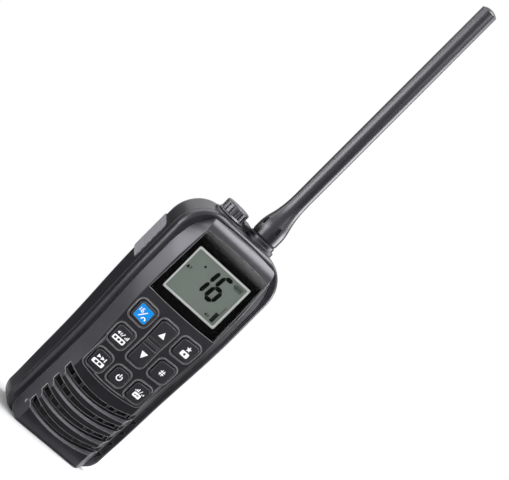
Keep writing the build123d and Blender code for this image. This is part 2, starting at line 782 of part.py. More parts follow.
def softened_form():
    """The front shell's outer form with its two ridges and the roll between them softened."""
    form = front_form()
    ridges = [
        edge
        for edge in form.edges()
        if abs(edge.center().X) > RIDGE_POINTS[0][0] - RIDGE_BAND
        and edge.center().Y < front_y(edge.center().Z) + RIDGE_BAND
    ]
    return fillet(ridges, RIDGE_ROUND)


def front_case():
    """Front shell: bevelled plateau with the window recess, key wells, grille and screw bosses."""
    outer = softened_form()
    pad = block((-SPEAKER_PAD_HALF, SPEAKER_PAD_HALF), (-REACH, SPEAKER_PAD_Y), (0, SPEAKER_PAD_TOP))
    posts = [round_bar(x, z, BOSS_RADIUS, -REACH / 2, SEAM_Y) for x, z in screw_places()]
    ends = [round_bar(x, z, BOSS_RADIUS, SEAM_Y - OVERCUT, BOSS_Y) for x, z in screw_places()]
    shell = outer - front_form(FRONT_WALL)
    shell += [pad & outer, *[post & outer for post in posts], *ends, key_lips(), keypad_border()]
    cuts = [
        facing(lens_outline(), -REACH, SEAM_Y) - lifted_front(-SHELF_DEPTH),
        facing(lcd_rectangle(LCD_BORDER + LCD_FRAME_WALL + LENS_FIT), -REACH, SEAM_Y),
        seal_ring(),
    ]
    cuts += [facing(outline, -REACH, SEAM_Y) for outline in key_outlines(KEY_GAP)]
    for z in slot_heights():
        cuts += [slot_channel(z), slot_lip(z), *slot_windows(z)]
    for x, z in screw_places():
        cuts.append(round_bar(x, z, SCREW_RADIUS + SCREW_CLEARANCE, BOSS_Y - SCREW_LENGTH, BOSS_Y))
    return shell - cuts


def seal_ring():
    """Gasket in the back edge of the front shell."""
    ring = facing(groove_outline(SEAL_INSET), SEAM_Y - SEAL_THICKNESS, SEAM_Y)
    return ring - facing(groove_outline(SEAL_INSET + SEAL_WIDTH), SEAM_Y - SEAL_THICKNESS, SEAM_Y)


def boxed(low_y, high_y, low_z=0.0, high_z=BODY_HEIGHT):
    """Box across the whole width between two depths and two heights."""
    return block((-REACH, REACH), (low_y, high_y), (low_z, high_z))


def bay_outline(grow=0.0):
    """Battery bay seen from the back."""
    width, height = 2 * (BAY_HALF_WIDTH + grow), BAY_HIGH - BAY_LOW + 2 * grow
    return rounded(width, height, BAY_CORNER, 0.0, (BAY_HIGH + BAY_LOW) / 2)


def rear_case():
    """Main shell: rim round the front, ledge for the gasket, battery bay behind and sockets on the deck."""
    ledge_back, floor_back = SEAM_Y + LEDGE_THICKNESS, FLOOR_Y + FLOOR_THICKNESS
    hollow = body_form(BODY_WALL)
    roof = BAY_HIGH + LATCH_TONGUE_REACH + BODY_WALL
    shell = body_form() - [
        hollow & boxed(ledge_back, FLOOR_Y, BODY_WALL, BODY_HEIGHT - BODY_WALL),
        hollow & boxed(FLOOR_Y, REACH, roof, BODY_HEIGHT - BODY_WALL),
    ]
    shell += [
        *[round_bar(x, z, BOSS_RADIUS, BOSS_Y + SCREW_CLEARANCE, floor_back) for x, z in screw_places()],
        *[round_bar(x, CLIP_Z, CLIP_BOSS_RADIUS, *clip_span()) & body_form() for x in clip_places()],
        *deck_features(),
        talk_pocket(),
    ]
    cuts = [
        facing(groove_outline(-FRONT_GAP), -REACH, SEAM_Y),
        facing(groove_outline(LEDGE_WIDTH), SEAM_Y, ledge_back),
        facing(bay_outline(), floor_back, REACH),
        talk_recess(),
        latch_slot(),
        (body_form() - body_form(PARTING_DEPTH)) & boxed(SEAM_Y, SEAM_Y + PARTING_WIDTH),
    ]
    for x, z in screw_places():
        cuts.append(round_bar(x, z, BOSS_RADIUS + FRONT_GAP, SEAM_Y - OVERCUT, BOSS_Y))
    for x, z in screw_places():
        cuts.append(round_bar(x, z, SCREW_RADIUS + SCREW_CLEARANCE, BOSS_Y, floor_back))
        cuts.append(
            round_bar(x, z, SCREW_HEAD_RADIUS + SCREW_CLEARANCE, floor_back - SCREW_HEAD_HEIGHT, floor_back)
        )
    for x in (-TOP_AXIS_X, TOP_AXIS_X):
        cuts.append(upright(x, TOP_AXIS_Y, SOCKET_RADIUS, BODY_HEIGHT - SOCKET_LENGTH, COLLAR_TOP + OVERCUT))
    for z in slot_heights():
        cuts.append(rim_facet(z))
    for x in clip_places():
        cuts.append(round_bar(x, CLIP_Z, CLIP_INSERT_RADIUS, clip_span()[0] - OVERCUT, REACH))
    for x in terminal_places():
        cuts.append(round_bar(x, PAD_Z, TERMINAL_RADIUS, FLOOR_Y - OVERCUT, floor_back + OVERCUT))
    return shell - cuts


def talk_pocket():
    """Thicker wall behind the talk key that carries the floor of its recess."""
    column = sideways(talk_outline(TALK_GAP + TALK_LIP), -REACH, 0)
    deep = TALK_DEPTH + TALK_TRAVEL + TALK_GAP
    return (column & body_form(BODY_WALL / 2)) - body_form(deep + TALK_FLOOR)


def talk_recess():
    """Recess for the talk key and its travel, with the hole for its plunger."""
    recess = sideways(talk_outline(TALK_GAP), -REACH, 0) - body_form(TALK_DEPTH + TALK_TRAVEL + TALK_GAP)
    return recess + block((-CHEST_HALF_WIDTH, -CHASSIS_HALF_WIDTH), *plunger_span(PLUNGER_GAP * 2))


def latch_slot():
    """Slot above the battery bay for the latch's tongue, open to the back."""
    half = LATCH_TONGUE_WIDTH / 2 + LATCH_GAP
    front, roof = latch_front() - LATCH_GAP, BAY_HIGH + LATCH_TONGUE_REACH - PACK_GAP
    return block((-half, half), (front, REACH), (BAY_HIGH - OVERCUT, roof))


def clip_places():
    """X of the two belt clip inserts."""
    return (-CLIP_SPACING / 2, CLIP_SPACING / 2)


def clip_span():
    """Front and back depth of a belt clip insert."""
    back = front_back_at(CLIP_Z) - CHARGE_SINK
    return back - CLIP_INSERT_LENGTH, back


def deck_features():
    """Flanges and collar round the two sockets, their bosses inside, and the guard block between them."""
    low, deep = BODY_HEIGHT - BODY_WALL / 2, BODY_HEIGHT - SOCKET_BOSS
    guard = block(
        (-BLOCK_WIDTH / 2, BLOCK_WIDTH / 2),
        (BLOCK_Y - BLOCK_LENGTH / 2, BLOCK_Y + BLOCK_LENGTH / 2),
        (low, BODY_HEIGHT + BLOCK_HEIGHT),
    )
    guard = fillet(guard.edges().filter_by_position(Axis.Z, BODY_HEIGHT, BODY_HEIGHT + REACH), BLOCK_EDGE)
    guard -= upright(-TOP_AXIS_X, TOP_AXIS_Y, CAP_SKIRT_RADIUS + FRONT_GAP, low, BODY_HEIGHT + REACH)
    return [
        upright(TOP_AXIS_X, TOP_AXIS_Y, FLANGE_RADIUS, low, BODY_HEIGHT + FLANGE_HEIGHT),
        upright(TOP_AXIS_X, TOP_AXIS_Y, COLLAR_RADIUS, deep, COLLAR_TOP),
        upright(-TOP_AXIS_X, TOP_AXIS_Y, FLANGE_RADIUS, low, CAP_BASE - CAP_SEAL_THICKNESS),
        upright(-TOP_AXIS_X, TOP_AXIS_Y, CAP_RADIUS, deep, low),
        guard,
    ]


def rim_facet(z):
    """Slanted facet at the right end of a grille slot that widens upwards across the rim's inner edge."""
    low = z + FACET_LOW
    inner = along([(x, height) for x, height, r in GROOVE_POINTS], low) + FRONT_GAP - OVERCUT
    front = front_y(low) + PLATEAU_RISE - OVERCUT
    sections = []
    for height, width in ((low, FACET_TIP), (low + FACET_HEIGHT, FACET_WIDTH)):
        reach = width + 2 * OVERCUT
        corner = Polygon((inner, front), (inner + reach, front), (inner, front + reach), align=None)
        sections.append((Plane.XY.offset(height) * corner).face())
    return loft(sections) & boxed(-REACH, SEAM_Y)


# ---------------------------------------------------------------- sound
def sound():
    """Loudspeaker with its waterproof cloth, and the microphone in its boot."""
    cloth_y = SPEAKER_PAD_Y + MEMBRANE_THICKNESS
    seat_y = cloth_y + GASKET_THICKNESS
    back_y = seat_y + BASKET_DEPTH
    width = 2 * (SPEAKER_PAD_HALF - FRONT_WALL)
    middle, tall = (MEMBRANE_LOW + MEMBRANE_HIGH) / 2, MEMBRANE_HIGH - MEMBRANE_LOW
    cloth = facing(rounded(width, tall, KEY_CORNER, 0.0, middle), SPEAKER_PAD_Y, cloth_y)
    for x, z in screw_places():
        cloth -= round_bar(x, z, BOSS_RADIUS + FRONT_GAP, SPEAKER_PAD_Y - 1, cloth_y + 1)
    mic_hole = round_bar(MIC_X, MIC_Z, MIC_RADIUS, SPEAKER_PAD_Y - 1, cloth_y + 1)
    gasket = round_bar(0, SPEAKER_Z, SPEAKER_RADIUS, cloth_y, seat_y)
    gasket -= round_bar(0, SPEAKER_Z, SPEAKER_RADIUS - GASKET_WIDTH, cloth_y - 1, seat_y + 1)
    basket = round_bar(0, SPEAKER_Z, SPEAKER_RADIUS, seat_y, back_y)
    mouth = SPEAKER_RADIUS - BASKET_WALL
    basket -= round_bar(0, SPEAKER_Z, mouth, seat_y - 1, back_y - BASKET_WALL)
    basket -= round_bar(0, SPEAKER_Z, MAGNET_RADIUS, seat_y, back_y + 1)
    cone_y = seat_y + CONE_THICKNESS
    cone = Pos(0, cone_y, SPEAKER_Z) * Rot(-90, 0, 0) * loft(
        [Circle(mouth).face(), (Pos(0, 0, CONE_DEPTH) * Circle(mouth / 2)).face()]
    )
    cone -= Pos(0, cone_y - CONE_THICKNESS, SPEAKER_Z) * Rot(-90, 0, 0) * loft(
        [Circle(mouth).face(), (Pos(0, 0, CONE_DEPTH) * Circle(mouth / 2)).face()]
    )
    magnet = round_bar(0, SPEAKER_Z, MAGNET_RADIUS, back_y - BASKET_WALL, back_y + MAGNET_DEPTH)
    boot = round_bar(MIC_X, MIC_Z, MIC_RADIUS + MIC_BOOT_WALL, cloth_y, cloth_y + MIC_DEPTH + MIC_BOOT_WALL)
    boot -= round_bar(MIC_X, MIC_Z, MIC_RADIUS, cloth_y - 1, cloth_y + MIC_DEPTH)
    return {
        "speaker_membrane": cloth - mic_hole,
        "speaker_gasket": gasket,
        "speaker_basket": basket,
        "speaker_cone": cone,
        "speaker_magnet": magnet,
        "microphone": round_bar(MIC_X, MIC_Z, MIC_RADIUS, cloth_y, cloth_y + MIC_DEPTH),
        "microphone_boot": boot,
    }


# ---------------------------------------------------------------- boards
def board_screw_places():
    """X and Z of the screws that hold the main board to the chassis."""
    low, high = MAIN_BOARD_LOW + BOARD_SCREW_INSET, MAIN_BOARD_HIGH - BOARD_SCREW_INSET
    return [(x, z) for x in (-BOARD_SCREW_X, BOARD_SCREW_X) for z in (low, high)]


def main_board_front():
    """Depth of the main board's front face."""
    return FLOOR_Y - CHASSIS_THICKNESS - CHASSIS_STEP - BOARD_THICKNESS


def plate(half_width, low, high, front, back):
    """Flat plate between two depths."""
    return block((-half_width, half_width), (front, back), (low, high))


def electronics():
    """Front board with its domes and mat, main board on the chassis, shield, connector and talk switch."""
    chassis_y = FLOOR_Y - CHASSIS_THICKNESS
    board_back = chassis_y - CHASSIS_STEP
    board_front = main_board_front()
    logic_back = LOGIC_BOARD_Y + BOARD_THICKNESS
    domes, mat = [], plate(MAT_HALF_WIDTH, MAT_LOW, MAT_HIGH, LOGIC_BOARD_Y - MAT_THICKNESS, LOGIC_BOARD_Y)
    for x, z in dome_places():
        domes.append(round_bar(x, z, DOME_RADIUS, LOGIC_BOARD_Y - DOME_HEIGHT, LOGIC_BOARD_Y))
        mat -= round_bar(x, z, MAT_HOLE_RADIUS, LOGIC_BOARD_Y - REACH, LOGIC_BOARD_Y + 1)
    chassis = plate(CHASSIS_HALF_WIDTH, CHASSIS_LOW, CHASSIS_HIGH, chassis_y, FLOOR_Y)
    board = plate(CHASSIS_HALF_WIDTH, MAIN_BOARD_LOW, MAIN_BOARD_HIGH, board_front, board_back)
    screws = []
    for x, z in board_screw_places():
        chassis += round_bar(x, z, BOARD_SCREW_HEAD, board_back, chassis_y)
        hole = round_bar(x, z, BOARD_SCREW_RADIUS + SCREW_CLEARANCE, -REACH, REACH)
        chassis -= hole
        board -= hole
        screw = round_bar(x, z, BOARD_SCREW_RADIUS, board_front, FLOOR_Y - SCREW_CLEARANCE)
        screws.append(screw + round_bar(x, z, BOARD_SCREW_HEAD, board_front - BOARD_THICKNESS, board_front))
    for x in terminal_places():
        hole = round_bar(x, PAD_Z, TERMINAL_HOLE, -REACH, REACH)
        chassis -= hole
    shield = plate(SHIELD_HALF_WIDTH, SHIELD_LOW, SHIELD_HIGH, board_front - SHIELD_DEPTH, board_front)
    shield -= plate(
        SHIELD_HALF_WIDTH - SHIELD_WALL,
        SHIELD_LOW + SHIELD_WALL,
        SHIELD_HIGH - SHIELD_WALL,
        board_front - SHIELD_DEPTH + SHIELD_WALL,
        board_front + 1,
    )
    half = CONNECTOR_HEIGHT / 2
    connector = plate(CONNECTOR_WIDTH / 2, CONNECTOR_Z - half, CONNECTOR_Z + half, logic_back, board_front)
    middle_y, middle_z = board_front + BOARD_THICKNESS / 2, (TALK_LOW + TALK_HIGH) / 2
    switch = block(
        (-CHASSIS_HALF_WIDTH - SWITCH_WIDTH, -CHASSIS_HALF_WIDTH),
        (middle_y - SWITCH_DEPTH / 2, middle_y + SWITCH_DEPTH / 2),
        (middle_z - SWITCH_HEIGHT / 2, middle_z + SWITCH_HEIGHT / 2),
    )
    logic = plate(LOGIC_HALF_WIDTH, LOGIC_LOW, LOGIC_HIGH, LOGIC_BOARD_Y, logic_back)
    logic -= [round_bar(x, z, BOSS_RADIUS + FRONT_GAP, -REACH, REACH) for x, z in screw_places()]
    return {
        "snap_domes": Compound(domes),
        "keypad_mat": mat,
        "logic_board": logic,
        "chassis": chassis,
        "main_board": board,
        "board_screws": Compound(screws),
        "rf_shield": shield,
        "board_connector": connector,
        "ptt_switch": switch,
    }


# ---------------------------------------------------------------- talk key
def talk_outline(grow=0.0):
    """Slanted pad outline, drawn in Y and Z."""
    front, back = TALK_FRONT_Y - grow, TALK_BACK_Y + grow
    low, high = TALK_LOW - grow, TALK_HIGH + grow
    corners = ((front, low), (back, low + TALK_SLANT), (back, high + TALK_SLANT), (front, high))
    pad = Polygon(*corners, align=None)
    return fillet(pad.vertices(), TALK_CORNER + grow)


def plunger_span(grow=0.0):
    """Y and Z extent of the talk key's plunger."""
    middle, tall = (TALK_LOW + TALK_HIGH) / 2, PLUNGER_HEIGHT / 2 + grow
    return (TALK_FRONT_Y - grow, TALK_FRONT_Y + PLUNGER_DEPTH + grow), (middle - tall, middle + tall)


def talk_groove(z):
    """Shallow round groove across the pad that runs down towards the front."""
    ends = []
    for y, height in ((TALK_FRONT_Y, z), (TALK_BACK_Y, z + TALK_SLANT)):
        front, back = front_y(height) + PLATEAU_RISE, front_back_at(height)
        half = CHEST_HALF_WIDTH - SIDE_TAPER * (y - front) / (back - front)
        ends.append(Vector(-(half + TALK_PROUD + TALK_GROOVE_RADIUS - TALK_GROOVE_DEPTH), y, height))
    start = ends[0] * 2 - ends[1]
    bar = Plane(start, z_dir=ends[1] - ends[0])
    length = 3 * (ends[1] - ends[0]).length
    return bar * Cylinder(TALK_GROOVE_RADIUS, length, align=(Align.CENTER, Align.CENTER, Align.MIN))


def talk_key():
    """Soft pad that follows the side wall, and the plunger that reaches the switch."""
    column = sideways(talk_outline(), -REACH, 0)
    pad = (column & body_form(-TALK_PROUD)) - body_form(TALK_DEPTH)
    middle, pitch = (TALK_LOW + TALK_HIGH) / 2, TALK_GROOVE_PITCH
    pad -= [talk_groove(middle + (k - (TALK_GROOVES - 1) / 2) * pitch) for k in range(TALK_GROOVES)]
    tip = -CHASSIS_HALF_WIDTH - SWITCH_WIDTH - TALK_TRAVEL - PLUNGER_GAP
    plunger = block((-REACH / 2, tip), *plunger_span()) & body_form(TALK_DEPTH)
    return {"ptt_button": pad, "ptt_plunger": plunger}


# ---------------------------------------------------------------- battery pack
def terminal_places():
    """X of each pack contact."""
    return [(k - (PAD_COUNT - 1) / 2) * PAD_SPACING for k in range(PAD_COUNT)]


def charge_places():
    """X of each charging stud."""
    return [(k - (CHARGE_COUNT - 1) / 2) * CHARGE_SPACING for k in range(CHARGE_COUNT)]


def latch_front():
    """Depth of the latch's inner face."""
    return pack_back() - LATCH_THICKNESS - LATCH_SINK


def pack_back():
    """Depth of the pack's outer face at the latch."""
    return front_back_at(BAY_HIGH - LATCH_HEIGHT)


def battery():
    """Tray and cover with two cells, a board, contact pads and charging studs."""
    front = FLOOR_Y + FLOOR_THICKNESS + PACK_GAP
    pocket = latch_pocket()
    roof = BAY_HIGH - PACK_GAP - LATCH_HEIGHT - LATCH_TRAVEL - LATCH_GAP - 2 * PACK_WALL
    hollow = facing(bay_outline(-PACK_GAP - PACK_WALL), front + PACK_WALL, REACH) & boxed(0, REACH, 0, roof)
    shell = (facing(bay_outline(-PACK_GAP), front, REACH) & body_form()) - (hollow & body_form(PACK_WALL))
    cell_front = front + PACK_WALL
    cells = []
    for k in range(CELL_COUNT):
        z = CELL_LOW + CELL_HEIGHT / 2 + k * (CELL_HEIGHT + CELL_GAP)
        outline = rounded(CELL_WIDTH, CELL_HEIGHT, CELL_CORNER, 0.0, z)
        cells.append(facing(outline, cell_front, cell_front + CELL_THICKNESS))
    pads = []
    for x in terminal_places():
        outline = rounded(PAD_SIZE, PAD_SIZE, LCD_CORNER, x, PAD_Z)
        pads.append(facing(outline, front - LENS_FIT, front - LENS_FIT + PAD_THICKNESS))
    stud_back = front_back_at(CHARGE_Z) - CHARGE_SINK
    stud_front = stud_back - CHARGE_LENGTH
    studs = [round_bar(x, CHARGE_Z, CHARGE_RADIUS, stud_front, stud_back) for x in charge_places()]
    wells = [round_bar(x, CHARGE_Z, CHARGE_RADIUS, stud_front, REACH) for x in charge_places()]
    board_low = CELL_LOW + CELL_COUNT * (CELL_HEIGHT + CELL_GAP) - CELL_GAP + PACK_BOARD_GAP
    cell_back = cell_front + CELL_THICKNESS
    board = plate(CELL_WIDTH / 2, board_low, board_low + BOARD_THICKNESS, cell_front, cell_back)
    return {
        "battery_tray": (shell & boxed(0, PACK_SPLIT_Y)) - pads,
        "battery_cover": (shell & boxed(PACK_SPLIT_Y, REACH)) - [pocket, *wells],
        "battery_cells": Compound(cells),
        "battery_board": board,
        "battery_pads": Compound(pads),
        "charging_terminals": Compound(studs),
    }


def front_back_at(z):
    """Depth of the body's flat back at a height."""
    return ease(z, 0, WAIST_HIGH, FOOT_DEPTH_BACK, CHEST_DEPTH_BACK)


def latch_pocket():
    """Recess for the latch and its travel, with a slot for the tongue."""
    half = LATCH_WIDTH / 2 + LATCH_GAP
    low = BAY_HIGH - PACK_GAP - LATCH_HEIGHT - LATCH_TRAVEL - LATCH_GAP - PACK_WALL
    return block((-half, half), (latch_front() - LATCH_GAP, REACH), (low, BAY_HIGH + OVERCUT))


def latch():
    """Sliding latch with finger ribs and a tongue that enters the case above the bay."""
    high = BAY_HIGH - PACK_GAP - PACK_WALL
    low = high - LATCH_HEIGHT
    back = pack_back() - LATCH_SINK
    slider = block((-LATCH_WIDTH / 2, LATCH_WIDTH / 2), (latch_front(), back), (low, high))
    slider = fillet(slider.edges().filter_by(Axis.Y), LATCH_RIB_HEIGHT)
    tongue_half = LATCH_TONGUE_WIDTH / 2
    tongue_top = BAY_HIGH + LATCH_TONGUE_REACH - PACK_GAP * 2
    tongue_back = latch_front() + LATCH_TONGUE_THICKNESS
    slider += block((-tongue_half, tongue_half), (latch_front(), tongue_back), (high, tongue_top))
    for k in range(LATCH_RIB_COUNT):
        z = (low + high) / 2 + (k - (LATCH_RIB_COUNT - 1) / 2) * LATCH_RIB_PITCH
        half, rib = LATCH_RIB_WIDTH / 2, LATCH_RIB_THICKNESS / 2
        slider += block((-half, half), (back - rib, back + LATCH_RIB_HEIGHT), (z - rib, z + rib))
    return slider


# ---------------------------------------------------------------- antenna and jack
def antenna():
    """Whip with its flared boot, the core inside, the threaded plug and the sealing ring."""
    seal_top = COLLAR_TOP + ANTENNA_SEAL_THICKNESS
    seat, chamfer_top = BOOT_RADIUS - BOOT_CHAMFER, seal_top + 2 * BOOT_CHAMFER
    flare = Spline(
        (BOOT_RADIUS, BOOT_SHOULDER),
        ((BOOT_RADIUS + WHIP_RADIUS) / 2, BOOT_SHOULDER + FLARE_BEND),
        (WHIP_RADIUS, BOOT_END),
        tangents=((0, 1), (0, 1)),
    )
    dome_low = WHIP_TOP - WHIP_TIP_DOME
    profile = make_face(
        [
            Edge.make_line((0, seal_top), (seat, seal_top)),
            Edge.make_line((seat, seal_top), (BOOT_RADIUS, chamfer_top)),
            Edge.make_line((BOOT_RADIUS, chamfer_top), (BOOT_RADIUS, BOOT_SHOULDER)),
            flare.edge(),
            Edge.make_line((WHIP_RADIUS, BOOT_END), (WHIP_RADIUS, dome_low)),
            Edge.make_tangent_arc((0, WHIP_TOP), (1, 0), (WHIP_RADIUS, dome_low)),
            Edge.make_line((0, WHIP_TOP), (0, seal_top)),
        ]
    )
    axis = Pos(TOP_AXIS_X, TOP_AXIS_Y, 0)
    sheath = axis * revolve(Plane.XZ * profile, Axis.Z)
    for k in range(DIMPLE_COUNT):
        turn = 360 / DIMPLE_COUNT * k
        cut = rounded(DIMPLE_WIDTH, DIMPLE_HEIGHT, DIMPLE_ROUND, 0.0, DIMPLE_Z)
        cut = facing(cut, -REACH, -DIMPLE_FLOOR)
        sheath -= axis * Rot(0, 0, turn) * cut
    plug_radius = SOCKET_BORE - PLUG_CLEARANCE
    core_low, core_high = seal_top + SOCKET_BORE, seal_top + CORE_LENGTH
    well = PLUG_HEAD_RADIUS
    sheath -= upright(TOP_AXIS_X, TOP_AXIS_Y, well, seal_top - 1, core_low)
    channel = CORE_RADIUS + CORE_CLEARANCE
    sheath -= upright(TOP_AXIS_X, TOP_AXIS_Y, channel, core_low - 1, core_high + CORE_CLEARANCE)
    plug = upright(TOP_AXIS_X, TOP_AXIS_Y, plug_radius, seal_top - PLUG_LENGTH, seal_top)
    plug += upright(TOP_AXIS_X, TOP_AXIS_Y, well - CORE_CLEARANCE, seal_top, core_low - CORE_CLEARANCE)
    seal = upright(TOP_AXIS_X, TOP_AXIS_Y, seat, COLLAR_TOP, seal_top)
    seal -= upright(TOP_AXIS_X, TOP_AXIS_Y, seat - ANTENNA_SEAL_WIDTH, COLLAR_TOP - 1, seal_top + 1)
    socket_low = COLLAR_TOP - SOCKET_LENGTH
    socket = upright(TOP_AXIS_X, TOP_AXIS_Y, SOCKET_RADIUS, socket_low, COLLAR_TOP)
    socket -= upright(TOP_AXIS_X, TOP_AXIS_Y, SOCKET_BORE, socket_low + BODY_WALL, COLLAR_TOP + 1)
    return {
        "antenna_sheath": sheath,
        "antenna_core": upright(TOP_AXIS_X, TOP_AXIS_Y, CORE_RADIUS, core_low, core_high),
        "antenna_plug": plug,
        "antenna_seal": seal,
        "antenna_socket": socket,
    }


def jack():
    """Threaded accessory jack with its ribbed screw cap and ring seal."""
    x = -TOP_AXIS_X
    cap = upright(x, TOP_AXIS_Y, CAP_RADIUS, CAP_BASE, CAP_TOP)
    cap = fillet(cap.edges().sort_by(Axis.Z)[-1], CAP_EDGE)
    skirt = Pos(x, TOP_AXIS_Y, CAP_BASE) * Cone(
        CAP_SKIRT_RADIUS, CAP_RADIUS, CAP_SKIRT_TOP - CAP_BASE, align=(Align.CENTER, Align.CENTER, Align.MIN)
    )
    cap += skirt
    for k in range(CAP_RIBS):
        turn = Rot(0, 0, 360 / CAP_RIBS * (k + 0.5))
        groove = RectangleRounded(2 * CAP_GROOVE_DEPTH, CAP_GROOVE_WIDTH, CAP_GROOVE_ROUND)
        cut = extrude(Pos(CAP_RADIUS, 0, CAP_SKIRT_TOP) * groove, amount=CAP_RIB_HEIGHT)
        cap -= Pos(x, TOP_AXIS_Y, 0) * turn * cut
    bore = JACK_STUB_RADIUS + CAP_CLEARANCE
    cap -= upright(x, TOP_AXIS_Y, bore, CAP_BASE - 1, JACK_STUB_TOP + CAP_CLEARANCE)
    seal_low = CAP_BASE - CAP_SEAL_THICKNESS
    seal = upright(x, TOP_AXIS_Y, bore + CAP_SEAL_WIDTH, seal_low, CAP_BASE)
    seal -= upright(x, TOP_AXIS_Y, bore, seal_low - 1, CAP_BASE + 1)
    low = JACK_STUB_TOP - JACK_LENGTH
    socket = upright(x, TOP_AXIS_Y, SOCKET_RADIUS, low, seal_low)
    socket += upright(x, TOP_AXIS_Y, JACK_STUB_RADIUS, seal_low, JACK_STUB_TOP)
    socket -= upright(x, TOP_AXIS_Y, JACK_BORE, low + BODY_WALL, JACK_STUB_TOP + 1)
    return {"jack_cap": cap, "jack_cap_seal": seal, "jack_socket": socket}


# ---------------------------------------------------------------- fasteners and contacts
def hardware():
    """Case screws, spring contacts to the pack and the belt clip inserts."""
    screws = []
    head_front = FLOOR_Y + FLOOR_THICKNESS - SCREW_HEAD_HEIGHT
    for x, z in screw_places():
        shank = round_bar(x, z, SCREW_RADIUS, BOSS_Y - SCREW_LENGTH + SCREW_TIP_GAP, head_front)
        screws.append(shank + round_bar(x, z, SCREW_HEAD_RADIUS, head_front, head_front + SCREW_HEAD_HEIGHT))
    contacts = []
    tip = FLOOR_Y + FLOOR_THICKNESS + PACK_GAP - 2 * LENS_FIT
    board_back = FLOOR_Y - CHASSIS_THICKNESS - CHASSIS_STEP
    for x in terminal_places():
        contacts.append(round_bar(x, PAD_Z, TERMINAL_RADIUS, board_back, tip))
    inserts = []
    front, back = clip_span()
    for x in clip_places():
        insert = round_bar(x, CLIP_Z, CLIP_INSERT_RADIUS, front, back)
        inserts.append(insert - round_bar(x, CLIP_Z, CLIP_BORE, front, back))
    return {
        "case_screws": Compound(screws),
        "case_terminals": Compound(contacts),
        "clip_inserts": Compound(inserts),
        "case_seal": seal_ring(),
    }


def radio():
    """Every piece by name."""
    pieces = {"front_case": front_case(), "rear_case": rear_case()}
    pieces.update(display())
    pieces.update(single_keys())
    pieces["key_rocker"] = rocker()
    pieces.update(sound())
    pieces.update(electronics())
    pieces.update(talk_key())
    pieces.update(battery())
    pieces["battery_latch"] = latch()
    pieces.update(antenna())
    pieces.update(jack())
    pieces.update(hardware())
    return pieces


os.makedirs("parts", exist_ok=True)
for name, piece in radio().items():
    export_step(piece, f"parts/{name}.step")
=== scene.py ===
import bpy
import bmesh
import math
from bpy.props import BoolProperty, FloatProperty, FloatVectorProperty, PointerProperty
from mathutils import Matrix, Vector
from mathutils.bvhtree import BVHTree


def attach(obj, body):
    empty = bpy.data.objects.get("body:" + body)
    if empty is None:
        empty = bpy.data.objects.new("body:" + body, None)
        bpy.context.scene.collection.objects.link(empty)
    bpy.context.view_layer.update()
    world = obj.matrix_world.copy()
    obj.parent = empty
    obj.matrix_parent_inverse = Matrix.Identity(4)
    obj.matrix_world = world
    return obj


bl_info = {
    "name": "Handheld Marine Radio Looks",
    "version": (1, 0, 0),
    "blender": (4, 5, 0),
    "location": "View3D > Sidebar > Radio",
    "description": "Finishes, printed legends, display and studio for a handheld marine radio",
    "category": "Object",
}

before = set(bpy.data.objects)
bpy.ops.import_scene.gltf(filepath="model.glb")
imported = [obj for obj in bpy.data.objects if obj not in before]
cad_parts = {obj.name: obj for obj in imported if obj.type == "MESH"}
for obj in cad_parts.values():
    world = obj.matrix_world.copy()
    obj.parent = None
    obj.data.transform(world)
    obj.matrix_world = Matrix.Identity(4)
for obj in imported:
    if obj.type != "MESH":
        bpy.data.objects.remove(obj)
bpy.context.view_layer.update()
MM = 0.001


# ---------------------------------------------------------------- settings
class RadioFinishSettings(bpy.types.PropertyGroup):
    """Colours and textures of the shells, keys and rubber parts."""

    case_color: FloatVectorProperty(
        name="Case",
        description="Main shell and battery pack",
        subtype="COLOR",
        default=(0.009, 0.0085, 0.011),
    )
    front_color: FloatVectorProperty(
        name="Front",
        description="Front shell and battery latch",
        subtype="COLOR",
        default=(0.010, 0.0095, 0.012),
    )
    key_color: FloatVectorProperty(
        name="Keys", description="Rubber keys", subtype="COLOR", default=(0.016, 0.015, 0.018)
    )
    call_color: FloatVectorProperty(
        name="Calling key",
        description="Printed face of the calling key",
        subtype="COLOR",
        default=(0.0, 0.215, 0.62),
    )
    talk_color: FloatVectorProperty(
        name="Talk key",
        description="Soft pad on the side",
        subtype="COLOR",
        default=(0.15, 0.148, 0.163),
    )
    antenna_color: FloatVectorProperty(
        name="Antenna",
        description="Moulded rubber of the antenna",
        subtype="COLOR",
        default=(0.008, 0.008, 0.0095),
    )
    legend_color: FloatVectorProperty(
        name="Legends",
        description="White print on the keys",
        subtype="COLOR",
        default=(0.86, 0.86, 0.88),
    )
    grain_size: FloatProperty(
        name="Grain",
        description="Size of the moulded texture",
        subtype="DISTANCE",
        default=0.00022,
    )


class RadioDisplaySettings(bpy.types.PropertyGroup):
    """Colours and proportions of the display."""

    glass_color: FloatVectorProperty(
        name="Background",
        description="Reflective background of the display",
        subtype="COLOR",
        default=(0.141, 0.162, 0.144),
    )
    ink_color: FloatVectorProperty(
        name="Segments", description="Dark segments", subtype="COLOR", default=(0.004, 0.005, 0.004)
    )
    digit_slant: FloatProperty(
        name="Slant", description="Lean of the digits, sideways per height", default=0.09
    )
    segment_width: FloatProperty(
        name="Segment", description="Width of a segment", subtype="DISTANCE", default=0.0022
    )


